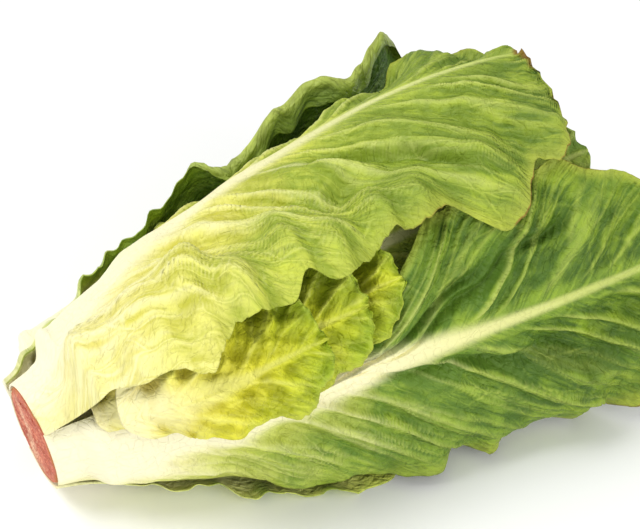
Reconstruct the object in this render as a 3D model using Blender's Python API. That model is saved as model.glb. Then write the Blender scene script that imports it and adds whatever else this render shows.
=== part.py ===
"""A romaine lettuce lying on its side: a cut stump with the leaves that grow round it.

Metres, +Z up. The head lies along +X with its cut stump at the low end. Leaves are worked out
in head coordinates: t runs along the head's axis from the cut, psi turns round that axis from
straight up towards +Y, and r is the distance from it. Leaves are laid on from the heart
outwards, and each is lifted clear of those under it.
"""

import math
import random
from dataclasses import dataclass

import bpy
import numpy as np

MM = 0.001

# The head's axis: it leaves the cut face's centre and climbs a little towards the leaf tips.
AXIS_TILT = math.radians(7.0)
CUT_CENTRE = np.array([-134.0, 0.0, 29.0]) * MM

# The head's outline: how far from the axis the outermost leaves lie, at each t.
OUTLINE_T = np.array([0, 18, 40, 68, 95, 122, 158, 183, 210, 250, 290]) * MM
OUTLINE_R = np.array([22.5, 28.5, 39.5, 51, 59, 65.5, 71, 75, 78, 80, 80]) * MM
SURFACE_POWER = 6.0  # how sharply the outline turns into the surface it lies on

# The stump, and the core that it becomes inside the head.
CORE_T = np.array([0, 2.4, 2.5, 20, 40, 60, 72]) * MM
CORE_R = np.array([22.2, 22.6, 15.5, 13.0, 9.5, 5.0, 1.5]) * MM
CORE_SIDES = 24
CUT_LOBES = 5
CUT_LOBE_DEPTH = 0.03  # of the radius
CUT_EDGE = 0.9 * MM  # how far the cut's rim is worn back
LEAF_BASE = 2.8 * MM  # where the outer leaves start, just past the stump's wider end

# Leaf tissue.
BLADE_HALF = 0.35 * MM
GAP = 0.6 * MM
PRESSED = 3.2 * MM  # how much of the lowest leaf is pressed flat where the head rests
STEEPEST = 2.2  # a blade's radial thickness is never more than this many times its true one
ROW_CROWDING = 0.06  # rows of a leaf's grid stand closer towards both its ends
COLUMN_CROWDING = 1.4  # and columns towards its midrib
FLOOR_RELIEF = 0.25  # what is left of a leaf's waves where the head lies on it
TIP_POWER = 2.3
TIP_SHARE = 0.12  # how wide the last row still is, so that no faces collapse there
LOBE_DEPTH = 0.04  # how much the margin's lobes widen and narrow the blade
RIB_OUTWARD = 0.75  # the midrib stands out mostly on the leaf's outer side

# The grid on which the outermost radius so far is kept.
T_STEP = 2.0 * MM
T_CELLS = 160
PSI_CELLS = 180
SUBSAMPLES = 4
PILE_RADIUS = 130 * MM
PILE_POWER = 12.0


@dataclass(frozen=True)
class Leaf:
    """One leaf: angles in degrees, lengths in millimetres."""

    name: str
    roll: float  # where its midrib stands round the axis
    start: float
    tip: float
    layer: float  # 0 on the core, 1 on the head's outline
    right: tuple  # how far its blade reaches from the midrib towards -psi, base to tip
    left: tuple  # and towards +psi
    colour: tuple
    rows: int = 24
    columns: int = 10
    drift: float = 0.0  # how far the midrib has turned round the axis at the tip
    rounding: float = 0.74  # where along its length the leaf starts to round off
    flare_right: float = 0.0  # how far the margin stands off
    flare_left: float = 0.0
    flare_span: tuple = (0.1, 0.6)  # where along the leaf it starts and is full
    off_floor: float = 0.0  # how far the leaf is kept from the surface under the head
    tip_lift: float = 0.0  # how far the tip bends out, or in where it is negative
    ruffle: float = 4.0
    wave: float = 52.0
    pleat: float = 1.6
    rib: float = 5.0  # the midrib's thickness at its base
    rib_width: float = 13.0  # and its half width
    folds: tuple = ()  # each: depth, where across, how broad, where along, how long
    seed: int = 1


PALE = (0.93, 0.92, 0.50)
YELLOW = (0.86, 0.87, 0.22)
LIGHT = (0.55, 0.70, 0.17)
GREEN = (0.33, 0.50, 0.11)
DARK = (0.13, 0.28, 0.07)

LEAVES = (
    Leaf("bud_leaf_1", 20, 44, 150, 0.14, (95,), (95,), PALE, 10, 8,
         tip_lift=-5, ruffle=1.5, wave=36, rib=1.4, rib_width=6, seed=11),
    Leaf("bud_leaf_2", 160, 40, 164, 0.22, (90,), (90,), PALE, 11, 8,
         tip_lift=-7, ruffle=2, wave=38, rib=1.4, rib_width=7, seed=12),
    Leaf("bud_leaf_3", -100, 36, 178, 0.30, (84,), (84,), PALE, 12, 8,
         tip_lift=-9, ruffle=2, wave=40, rib=1.6, rib_width=8, seed=13),
    Leaf("inner_leaf_1", 62, 38, 196, 0.38, (78, 76, 72), (78, 76, 72), YELLOW,
         16, 8, tip_lift=-11, ruffle=3, wave=46, rib=1.8, rib_width=9, seed=21),
    Leaf("inner_leaf_2", -160, 36, 208, 0.45, (76, 74, 70), (76, 74, 70), YELLOW,
         16, 8, tip_lift=-12, ruffle=3, wave=46, rib=2.0, rib_width=9, seed=22),
    Leaf("inner_leaf_3", -15, 33, 222, 0.52, (74, 72, 66), (74, 72, 66), YELLOW,
         18, 8, tip_lift=-12, ruffle=3.5, rib=2.2, rib_width=10, seed=23),
    Leaf("inner_leaf_4", 125, 30, 230, 0.58, (70, 68, 62), (70, 68, 62), LIGHT,
         18, 8, tip_lift=-12, ruffle=3.5, rib=2.2, rib_width=10, seed=24),
    Leaf("middle_leaf_1", -135, 27, 248, 0.65, (64, 62, 58), (64, 62, 58),
         GREEN, 20, 8, tip_lift=-8, off_floor=12, ruffle=4, rib=2.4, rib_width=11, seed=31),
    Leaf("middle_leaf_2", -30, 24, 254, 0.74, (60, 52, 56), (60, 58, 56), GREEN,
         22, 10, tip_lift=-3, ruffle=4, rib=2.6, rib_width=11, seed=32),
    Leaf("middle_leaf_3", 82, 27, 244, 0.80, (60, 58, 54), (60, 58, 54), GREEN,
         20, 8, tip_lift=-6, off_floor=12, ruffle=4, rib=2.8, rib_width=12, seed=33),
    Leaf("middle_leaf_4", 150, 24, 246, 0.82, (58, 56, 54), (58, 56, 54), GREEN,
         20, 8, tip_lift=-6, off_floor=7, ruffle=4, rib=2.8, rib_width=12, seed=34),
    Leaf("near_leaf", -75, LEAF_BASE / MM, 270, 0.95, (46, 52, 45, 44, 49, 52, 50),
         (28, 27, 16, 14, 14, 20, 38, 50, 45, 40, 40), GREEN, 30, 12, rounding=0.8, flare_right=25,
         off_floor=4.5, tip_lift=2, ruffle=3, wave=54, pleat=2.6, rib=6.0, rib_width=19,
         folds=((9, -0.32, 0.12, 0.82, 0.16), (-5, -0.6, 0.16, 0.80, 0.16),
                (3, 0.45, 0.12, 0.6, 0.2)), seed=41),
    Leaf("heart_leaf_1", -46, 40, 152, 0.78, (16, 16, 18, 18, 16), (30, 30, 32, 30, 24), LIGHT,
         16, 10, ruffle=3, wave=32, pleat=2.2, rib=1.5, rib_width=6, seed=51),
    Leaf("heart_leaf_2", -50, 32, 134, 0.82, (14, 15, 18, 20, 18), (30, 30, 32, 28, 22), YELLOW,
         16, 10, ruffle=3.5, wave=30, pleat=2.4, rib=1.5, rib_width=6, seed=52),
    Leaf("heart_leaf_3", -52, 20, 72, 0.84, (8, 10, 12, 14, 12), (24, 26, 26, 22, 20), PALE,
         12, 8, ruffle=2, wave=28, rib=1.5, rib_width=6, seed=53),
    Leaf("heart_leaf_4", -54, 26, 112, 0.86, (12, 13, 16, 18, 15), (26, 28, 26, 24, 20), YELLOW,
         16, 10, ruffle=3.5, wave=28, pleat=2.4, rib=1.5, rib_width=6, seed=54),
    Leaf("top_leaf", 36, LEAF_BASE / MM, 247, 1.0, (84, 76, 82, 77, 71, 70, 66, 57, 68, 52, 56),
         (32, 46, 58, 62, 58, 36, 10), GREEN, 34, 14, drift=-28, rounding=0.84, ruffle=4.5,
         wave=58, pleat=2.6, rib=6.5, rib_width=22,
         folds=((8, -0.62, 0.12, 0.64, 0.10), (4, -0.5, 0.10, 0.45, 0.12)), seed=61),
    Leaf("far_leaf", 104, LEAF_BASE / MM, 236, 1.02, (35, 23, 25, 36, 46, 52, 50), (28, 33, 38, 42, 40), DARK,
         28, 12, rounding=0.86, flare_span=(0.45, 0.75), flare_right=20, flare_left=8, off_floor=4,
         ruffle=3, pleat=2.2, rib=4.5, rib_width=18, folds=((6, -1.0, 0.12, 0.80, 0.14),), seed=63),
    Leaf("under_leaf", 180, LEAF_BASE / MM, 232, 1.07, (36, 46, 48, 50, 46), (44, 52, 58, 57, 46, 42, 38),
         GREEN, 28, 12, flare_left=14, off_floor=-3.2, ruffle=4, wave=40, rib=3.4, rib_width=18,
         seed=62),
)


def smoothstep(low, high, x):
    """0 below low, 1 above high, and an even rise between them."""
    share = np.clip((x - low) / (high - low), 0.0, 1.0)
    return share * share * (3 - 2 * share)


def core_radius(t):
    """The stump's and the core's radius at t."""
    return np.interp(t, CORE_T, CORE_R)


def floor_radius(t, psi, above=0.0):
    """How far it is from the axis, towards psi, to a level above the surface under the head."""
    return (CUT_CENTRE[2] + t * math.sin(AXIS_TILT) - above) / np.maximum(-np.cos(psi), 0.05)


def blended(free, floor, power):
    """The smaller of two radii, with an even turn where they meet."""
    return (free**-power + floor**-power) ** (-1 / power)


def outline_radius(t, psi):
    """How far the head reaches at t and psi, less where it meets the surface it lies on."""
    return blended(np.interp(t, OUTLINE_T, OUTLINE_R), floor_radius(t, psi), SURFACE_POWER)


def pile_scale(t, psi):
    """The radius by which the pile measures, so that a flat surface under it has no slope."""
    return blended(PILE_RADIUS, floor_radius(t, psi), PILE_POWER)


def place(t, psi, r):
    """World points for head coordinates, as an array whose last axis is x, y, z."""
    along = np.array([math.cos(AXIS_TILT), 0.0, math.sin(AXIS_TILT)])
    up = np.array([-math.sin(AXIS_TILT), 0.0, math.cos(AXIS_TILT)])
    side = np.array([0.0, 1.0, 0.0])
    t, psi, r = (np.asarray(a)[..., None] for a in np.broadcast_arrays(t, psi, r))
    return CUT_CENTRE + t * along + r * (np.sin(psi) * side + np.cos(psi) * up)


def refine(grid, times):
    """A grid with each cell cut into times by times, by linear interpolation."""
    rows, columns = grid.shape
    row_at = np.linspace(0, rows - 1, (rows - 1) * times + 1)
    column_at = np.linspace(0, columns - 1, (columns - 1) * times + 1)
    by_rows = np.array([np.interp(row_at, np.arange(rows), grid[:, j]) for j in range(columns)]).T
    return np.array([np.interp(column_at, np.arange(columns), row) for row in by_rows])


def window_max(grid, reach):
    """Each cell's largest neighbour within reach cells."""
    padded = np.pad(grid, reach, mode="edge")
    rows, columns = grid.shape
    shifts = range(2 * reach + 1)
    return np.max([padded[i : i + rows, j : j + columns] for i in shifts for j in shifts], axis=0)


def soften(grid):
    """One pass of averaging with the neighbours."""
    padded = np.pad(grid, 1, mode="edge")
    rows, columns = grid.shape
    return sum(padded[i : i + rows, j : j + columns] for i in range(3) for j in range(3)) / 9


class Pile:
    """The outermost radius of what has been laid on so far, over t and psi, as shares of a scale."""

    def __init__(self):
        t = (np.arange(T_CELLS) + 0.5)[:, None] * T_STEP
        psi = (np.arange(PSI_CELLS) + 0.5)[None, :] * 2 * math.pi / PSI_CELLS
        self.share = core_radius(np.maximum(t, LEAF_BASE)) / pile_scale(t, psi)

    def cells(self, t, psi):
        """The grid cells that hold these points."""
        row = np.clip((t / T_STEP).astype(int), 0, T_CELLS - 1)
        column = np.floor(psi / (2 * math.pi) * PSI_CELLS).astype(int) % PSI_CELLS
        return row, column

    def lift(self, t, psi, inner):
        """How far each vertex has to rise for the leaf's inner face to clear the pile."""
        scale = pile_scale(t, psi)
        fine_t, fine_psi, fine_share = (refine(g, SUBSAMPLES) for g in (t, psi, inner / scale))
        wrapped = np.pad(self.share, ((1, 1), (0, 0)), mode="edge")
        wrapped = np.pad(wrapped, ((0, 0), (1, 1)), mode="wrap")
        around = [wrapped[i : i + T_CELLS, j : j + PSI_CELLS] for i in range(3) for j in range(3)]
        under = np.max(around, axis=0)[self.cells(fine_t, fine_psi)]
        need = np.maximum(under - fine_share, 0.0)
        need = window_max(need, SUBSAMPLES)[::SUBSAMPLES, ::SUBSAMPLES]
        past_base = smoothstep(4 * MM, 22 * MM, t - t[0, 0])
        return np.maximum(need, past_base * soften(soften(need))) * scale

    def add(self, t, psi, outer):
        """Lays a leaf's outer face, and a gap over it, on the pile."""
        share = (outer + GAP) / pile_scale(t, psi)
        fine_t, fine_psi, fine_share = (refine(g, 2 * SUBSAMPLES) for g in (t, psi, share))
        np.maximum.at(self.share, self.cells(fine_t, fine_psi), fine_share)


def along_leaf(values, u):
    """A property given at even steps from base to tip, at each u."""
    return np.interp(u, np.linspace(0.0, 1.0, len(values)), values)


def tip_share(u, rounding):
    """How much of its full width a leaf still has at u, rounding off towards the tip."""
    past = np.clip((u - rounding) / (1 - rounding), 0.0, 1.0)
    return np.maximum((1 - past**TIP_POWER) ** (1 / TIP_POWER), TIP_SHARE)


def waves(draw, length, wave, shares=(1.0, 0.6)):
    """A few sine waves of falling length along the leaf, each from a drawn start."""
    total = 0.0
    for order, share in enumerate(shares):
        phase = draw.uniform(0, 2 * math.pi)
        total = total + share * np.sin(2 * math.pi * length / (wave * 0.62**order) + phase)
    return total


def leaf_grid(leaf):
    """A leaf's middle surface in head coordinates, and how far its two faces lie from it."""
    step = np.linspace(0.0, 1.0, leaf.rows + 1)
    u = (step - ROW_CROWDING * np.sin(2 * math.pi * step))[:, None]
    across = np.linspace(-1.0, 1.0, leaf.columns + 1)[None, :]
    edge = np.abs(across) ** COLUMN_CROWDING
    v = np.sign(across) * edge
    length = (leaf.tip - leaf.start) * u
    t = (leaf.start + length) * MM + 0 * v
    draw = random.Random(leaf.seed)
    past_base = smoothstep(0.05, 0.3, u)

    reach = 0.0
    for side, margin in ((-1, leaf.right), (1, leaf.left)):
        lobes = 1 + LOBE_DEPTH * past_base * waves(draw, length, 0.6 * leaf.wave)
        reach = reach + np.where(v * side > 0, along_leaf(margin, u) * lobes, 0.0)
    reach = np.radians(reach) * tip_share(u, leaf.rounding)
    psi = np.radians(leaf.roll + leaf.drift * u**3) + v * reach

    core = core_radius(t)
    outline = outline_radius(t, psi)
    width = edge * reach * outline / MM
    rib_half_width = leaf.rib_width * (1 - 0.86 * smoothstep(0.0, 0.9, u))
    rib = np.exp(-((width / rib_half_width) ** 2))
    thick = leaf.rib * (1 - 0.9 * smoothstep(0.0, 0.85, u)) * MM * rib
    outer = BLADE_HALF + RIB_OUTWARD * thick
    inner = BLADE_HALF + (1 - RIB_OUTWARD) * thick

    r = core + inner + GAP / 3 + leaf.layer * (outline - outer - inner - GAP / 3 - core)
    flare = np.where(v < 0, leaf.flare_right, leaf.flare_left) * tip_share(u, leaf.rounding)
    r += flare * MM * smoothstep(*leaf.flare_span, u) * edge**2.5
    r += leaf.tip_lift * MM * smoothstep(0.6, 1.0, u)
    relief = 0.0
    for side in (-1, 1):
        on_side = (v * side > 0) * smoothstep(0.3, 1.0, edge)
        relief += leaf.ruffle * on_side * waves(draw, length, leaf.wave)
    body = smoothstep(0.1, 0.35, edge) * (1 - smoothstep(0.7, 1.0, edge))
    relief += leaf.pleat * body * waves(draw, length - 0.8 * width, 0.7 * leaf.wave, (1.0,))
    for depth, at, broad, along, long in leaf.folds:
        relief -= depth * np.exp(-(((v - at) / broad) ** 2) - ((u - along) / long) ** 2)
    r += relief * MM * past_base * (1 - (1 - FLOOR_RELIEF) * smoothstep(0.3, 0.8, -np.cos(psi)))
    r = np.minimum(r, floor_radius(t, psi, outer + leaf.off_floor * MM))
    return t, psi, np.maximum(r, core + inner + GAP / 3), outer, inner


def steepness(t, psi, r):
    """How many times thicker a leaf is along the radius than across itself, at each vertex."""
    points = place(t, psi, r)
    normal = np.cross(np.gradient(points, axis=1), np.gradient(points, axis=0))
    normal /= np.linalg.norm(normal, axis=2, keepdims=True)
    outward = place(t, psi, r + MM) - points
    outward /= np.linalg.norm(outward, axis=2, keepdims=True)
    return 1 / np.maximum(np.abs(np.sum(normal * outward, axis=2)), 1 / STEEPEST)


def leaf_mesh(name, outer, inner):
    """A closed blade between two grids of points, cut into triangles alike on both faces."""
    rows, columns = outer.shape[:2]
    index = np.arange(rows * columns).reshape(rows, columns)
    shift = rows * columns
    faces = []
    for i in range(rows - 1):
        for j in range(columns - 1):
            a, b = index[i, j], index[i, j + 1]
            c, d = index[i + 1, j + 1], index[i + 1, j]
            cut = ((a, c, b), (a, d, c)) if (i + j) % 2 else ((a, d, b), (b, d, c))
            faces += cut
            faces += [tuple(k + shift for k in reversed(face)) for face in cut]
    loop = [*index[0, :], *index[1:, -1], *index[-1, -2::-1], *index[-2:0:-1, 0]]
    for k, start in enumerate(loop):
        end = loop[(k + 1) % len(loop)]
        faces += [(start, end, start + shift), (end, end + shift, start + shift)]
    points = np.concatenate([outer.reshape(-1, 3), inner.reshape(-1, 3)])
    mesh = bpy.data.meshes.new(name)
    mesh.from_pydata(points.tolist(), [], [tuple(int(k) for k in face) for face in faces])
    mesh.shade_smooth()
    return mesh


def finish_for(name, colour, roughness=0.45):
    """A plain finish in the part's own colour."""
    material = bpy.data.materials.new(name)
    material.use_nodes = True
    shader = material.node_tree.nodes["Principled BSDF"]
    shader.inputs["Base Color"].default_value = (*colour, 1.0)
    shader.inputs["Roughness"].default_value = roughness
    shader.inputs["Metallic"].default_value = 0.0
    return material


def add_object(name, mesh, colour, roughness=0.45):
    """Puts a mesh in the scene under its node's name."""
    mesh.materials.append(finish_for(name, colour, roughness))
    obj = bpy.data.objects.new(name, mesh)
    bpy.context.scene.collection.objects.link(obj)
    return obj


def build_leaf(leaf, pile):
    """Lays one leaf on the pile and adds it to the scene."""
    t, psi, r, outer, inner = leaf_grid(leaf)
    for _ in range(2):
        steep = steepness(t, psi, r)
        r = r + pile.lift(t, psi, r - inner * steep)
    pile.add(t, psi, r + outer * steep)
    faces = place(t, psi, r + outer * steep), place(t, psi, r - inner * steep)
    return add_object(leaf.name, leaf_mesh(leaf.name, *faces), leaf.colour)


def build_stump():
    """The cut stump and the core inside the head, turned about the axis."""
    profile_t = np.array([0.0, 0.5, 2.4, 2.5, 10, 20, 30, 40, 50, 60, 68, 72]) * MM
    profile_r = core_radius(profile_t)
    profile_r[0] -= CUT_EDGE
    psi = np.linspace(0, 2 * math.pi, CORE_SIDES, endpoint=False)
    lobes = 1 - CUT_LOBE_DEPTH * (0.5 + 0.5 * np.cos(CUT_LOBES * psi))[None, :]
    rings = place(profile_t[:, None], psi[None, :], profile_r[:, None] * lobes)
    count = len(profile_t)
    points = [*rings.reshape(-1, 3), place(0.4 * MM, 0.0, 0.0), place(73 * MM, 0.0, 0.0)]
    faces = []
    for j in range(CORE_SIDES):
        k = (j + 1) % CORE_SIDES
        faces.append((j, k, count * CORE_SIDES))
        last = (count - 1) * CORE_SIDES
        faces.append((last + k, last + j, count * CORE_SIDES + 1))
        for i in range(count - 1):
            a, b = i * CORE_SIDES + j, i * CORE_SIDES + k
            faces.append((b, a, a + CORE_SIDES, b + CORE_SIDES))
    mesh = bpy.data.meshes.new("stump")
    mesh.from_pydata([tuple(p) for p in points], [], faces)
    mesh.shade_smooth()
    mesh.set_sharp_from_angle(angle=math.radians(35))
    return add_object("stump", mesh, (0.72, 0.33, 0.24), 0.6)


def settle(objects):
    """Moves the head onto z = 0 and its box's middle onto the origin, and flattens its lowest spots."""
    low = np.full(3, math.inf)
    high = -low
    for obj in objects:
        points = np.array([vertex.co for vertex in obj.data.vertices])
        low = np.minimum(low, points.min(axis=0))
        high = np.maximum(high, points.max(axis=0))
    middle = (low + high) / 2
    shift = np.array([middle[0], middle[1], low[2] + PRESSED])
    lowest = objects[-1]
    for obj in objects:
        floor = 0.0 if obj == lowest else -math.inf
        for index, vertex in enumerate(obj.data.vertices):
            point = np.array(vertex.co) - shift
            outside = index < len(obj.data.vertices) // 2
            point[2] = max(point[2], floor + (0.0 if outside else 2 * BLADE_HALF))
            vertex.co = point


def main():
    """Clears the scene, then builds the stump and the leaves from the heart outwards."""
    for obj in list(bpy.data.objects):
        bpy.data.objects.remove(obj)
    objects = [build_stump()]
    pile = Pile()
    for leaf in LEAVES:
        objects.append(build_leaf(leaf, pile))
    settle(objects)


if __name__ == "__main__":
    main()
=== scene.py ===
"""Dresses a romaine lettuce that lies on its side.

Each plain leaf is replaced by a finely crinkled one of the same form, laid in the same order
from the heart outwards, so that no leaf passes through another. The cut stump gets its
browned face, and the head lies on a pale floor in soft light.
"""
import logging
import math
import random
from dataclasses import dataclass
from enum import Enum
from typing import Any

import bpy
import numpy as np
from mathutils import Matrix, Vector


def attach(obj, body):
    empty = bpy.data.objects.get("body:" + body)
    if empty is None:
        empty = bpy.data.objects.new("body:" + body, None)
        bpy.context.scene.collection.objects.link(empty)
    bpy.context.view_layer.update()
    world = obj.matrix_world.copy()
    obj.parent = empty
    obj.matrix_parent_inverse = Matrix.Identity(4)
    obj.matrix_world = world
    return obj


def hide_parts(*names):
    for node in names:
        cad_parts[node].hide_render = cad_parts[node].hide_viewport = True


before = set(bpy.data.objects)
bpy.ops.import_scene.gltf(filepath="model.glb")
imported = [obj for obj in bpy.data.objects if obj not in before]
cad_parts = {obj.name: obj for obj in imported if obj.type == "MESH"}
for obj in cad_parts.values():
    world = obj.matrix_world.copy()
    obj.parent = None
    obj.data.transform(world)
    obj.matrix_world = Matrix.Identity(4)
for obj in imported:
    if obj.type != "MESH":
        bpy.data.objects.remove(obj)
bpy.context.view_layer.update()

LOG = logging.getLogger("lettuce")
MM = 0.001
LEAF_BASE = 2.8
FACE_RADIUS = 21.6 * MM
TURN = 2 * math.pi
Grid = np.ndarray
Colour = tuple[float, float, float]


def from_hex(code: str) -> Colour:
    """Gives the linear colour for a code of six hexadecimal digits.

    Args:
        code: Red, green and blue as two digits each.

    Returns:
        The colour in linear light.
    """
    parts = [int(code[k : k + 2], 16) / 255 for k in (0, 2, 4)]
    red, green, blue = (p / 12.92 if p <= 0.04045 else ((p + 0.055) / 1.055) ** 2.4 for p in parts)
    return red, green, blue


def stops(*parts: Any) -> tuple:
    """Turns a ramp's places and colour codes, given in turn, into pairs of place and colour."""
    return tuple((place, from_hex(code)) for place, code in zip(parts[::2], parts[1::2]))


def smoothstep(low: float, high: float, x: Grid) -> Grid:
    """Rises evenly from 0 below low to 1 above high."""
    share = np.clip((x - low) / (high - low), 0.0, 1.0)
    return share * share * (3 - 2 * share)


def waves(draw: random.Random, length: Grid, wave: float, shares: tuple = (1.0, 0.6)) -> Grid:
    """Adds a few sine waves of falling length along a leaf.

    Args:
        draw: Gives each wave its start.
        length: Distance along the leaf, in the wave's unit.
        wave: The longest wave's length.
        shares: How much each wave counts.

    Returns:
        The waves' sum at each point.
    """
    total = 0.0
    for order, share in enumerate(shares):
        phase = draw.uniform(0, TURN)
        total = total + share * np.sin(TURN * length / (wave * 0.62**order) + phase)
    return total


def spread_max(grid: Grid, reach: int) -> Grid:
    """Gives each cell the largest value within reach cells of it.

    Args:
        grid: Values on a grid.
        reach: How many cells away still count.

    Returns:
        A grid of the same size.
    """
    for axis in (0, 1):
        width = [(reach, reach) if k == axis else (0, 0) for k in (0, 1)]
        padded = np.pad(grid, width, mode="edge")
        count = grid.shape[axis]
        shifted = [np.take(padded, range(k, k + count), axis) for k in range(2 * reach + 1)]
        grid = np.max(shifted, axis=0)
    return grid


def soften(grid: Grid) -> Grid:
    """Averages each cell with its neighbours once.

    Args:
        grid: Values on a grid.

    Returns:
        A grid of the same size.
    """
    padded = np.pad(grid, 1, mode="edge")
    rows, columns = grid.shape
    return sum(padded[i : i + rows, j : j + columns] for i in range(3) for j in range(3)) / 9


def refine(grid: Grid, times: int) -> Grid:
    """Cuts each cell of a grid into times by times, by linear interpolation.

    Args:
        grid: Values on a grid.
        times: How many parts each cell's side is cut into.

    Returns:
        The finer grid.
    """
    rows, columns = grid.shape
    row_at = np.linspace(0, rows - 1, (rows - 1) * times + 1)
    column_at = np.linspace(0, columns - 1, (columns - 1) * times + 1)
    by_rows = np.array([np.interp(row_at, np.arange(rows), grid[:, j]) for j in range(columns)]).T
    return np.array([np.interp(column_at, np.arange(columns), row) for row in by_rows])


def enlarge(grid: Grid, rows: int, columns: int) -> Grid:
    """Resamples a grid with curves that pass through its points.

    Args:
        grid: A coarse grid.
        rows: How many rows the result has.
        columns: How many columns it has.

    Returns:
        The finer grid.
    """
    for axis, count in ((0, rows), (1, columns)):
        last = grid.shape[axis] - 1
        at = np.linspace(0, last, count)
        base = np.minimum(at.astype(int), last - 1)
        part = np.expand_dims(at - base, 1 - axis)
        before, here, after, beyond = (
            np.take(grid, np.clip(base + k, 0, last), axis) for k in (-1, 0, 1, 2))
        grid = here + 0.5 * part * (
            after - before
            + part * (2 * before - 5 * here + 4 * after - beyond
                      + part * (3 * (here - after) + beyond - before)))
    return grid


@dataclass(frozen=True)
class HeadSpace:
    """The space round the head's axis, with its core, its outline and the surface under it."""

    tilt: float = math.radians(7.0)
    cut_centre: tuple = (-134.0 * MM, 0.0, 29.0 * MM)
    outline_t: tuple = (0, 18, 40, 68, 95, 122, 158, 183, 210, 250, 290)
    outline_r: tuple = (22.5, 28.5, 39.5, 51, 59, 65.5, 71, 75, 78, 80, 80)
    outline_power: float = 6.0
    core_t: tuple = (0, 2.4, 2.5, 20, 40, 60, 72)
    core_r: tuple = (22.2, 22.6, 15.5, 13.0, 9.5, 5.0, 1.5)
    pile_radius: float = 130 * MM
    pile_power: float = 12.0

    def core(self, t: Grid) -> Grid:
        """Gives the stump's and the core's radius at t."""
        return np.interp(t, np.array(self.core_t) * MM, np.array(self.core_r) * MM)

    def floor(self, t: Grid, psi: Grid, above: Grid | float = 0.0) -> Grid:
        """Gives the distance from the axis, towards psi, to a level above the surface below."""
        height = self.cut_centre[2] + t * math.sin(self.tilt) - above
        return height / np.maximum(-np.cos(psi), 0.05)

    def blended(self, free: Grid | float, floor: Grid, power: float) -> Grid:
        """Gives the smaller of two radii, with an even turn where they meet."""
        return (free**-power + floor**-power) ** (-1 / power)

    def outline(self, t: Grid, psi: Grid) -> Grid:
        """Gives how far the head reaches at t and psi."""
        free = np.interp(t, np.array(self.outline_t) * MM, np.array(self.outline_r) * MM)
        return self.blended(free, self.floor(t, psi), self.outline_power)

    def pile_scale(self, t: Grid, psi: Grid) -> Grid:
        """Gives the radius by which a pile of leaves measures."""
        return self.blended(self.pile_radius, self.floor(t, psi), self.pile_power)

    def axes(self) -> tuple[Grid, Grid, Grid]:
        """Gives the directions along the head, to its side and up from its axis.

        Returns:
            Three directions, each one unit long.
        """
        along = np.array([math.cos(self.tilt), 0.0, math.sin(self.tilt)])
        up = np.array([-math.sin(self.tilt), 0.0, math.cos(self.tilt)])
        return along, np.array([0.0, 1.0, 0.0]), up

    def place(self, t: Grid, psi: Grid, r: Grid) -> Grid:
        """Turns head coordinates into points.

        Args:
            t: Distance along the axis from the cut.
            psi: Turn round the axis from straight up, towards +Y.
            r: Distance from the axis.

        Returns:
            An array whose last axis is x, y, z.
        """
        along, side, up = self.axes()
        t, psi, r = (np.asarray(a)[..., None] for a in np.broadcast_arrays(t, psi, r))
        return np.array(self.cut_centre) + t * along + r * (np.sin(psi) * side + np.cos(psi) * up)

    def steepness(self, t: Grid, psi: Grid, r: Grid, most: float = 2.2) -> Grid:
        """Says how many times thicker a sheet is along the radius than across itself.

        Args:
            t: Lengths along the axis.
            psi: Angles round it.
            r: Radii from it.
            most: The largest answer that is given.

        Returns:
            The factor at each point, 1 or more.
        """
        points = self.place(t, psi, r)
        normal = np.cross(np.gradient(points, axis=1), np.gradient(points, axis=0))
        normal /= np.maximum(np.linalg.norm(normal, axis=2, keepdims=True), 1e-12)
        outward = self.place(t, psi, r + MM) - points
        outward /= np.linalg.norm(outward, axis=2, keepdims=True)
        return 1 / np.maximum(np.abs(np.sum(normal * outward, axis=2)), 1 / most)


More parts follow.
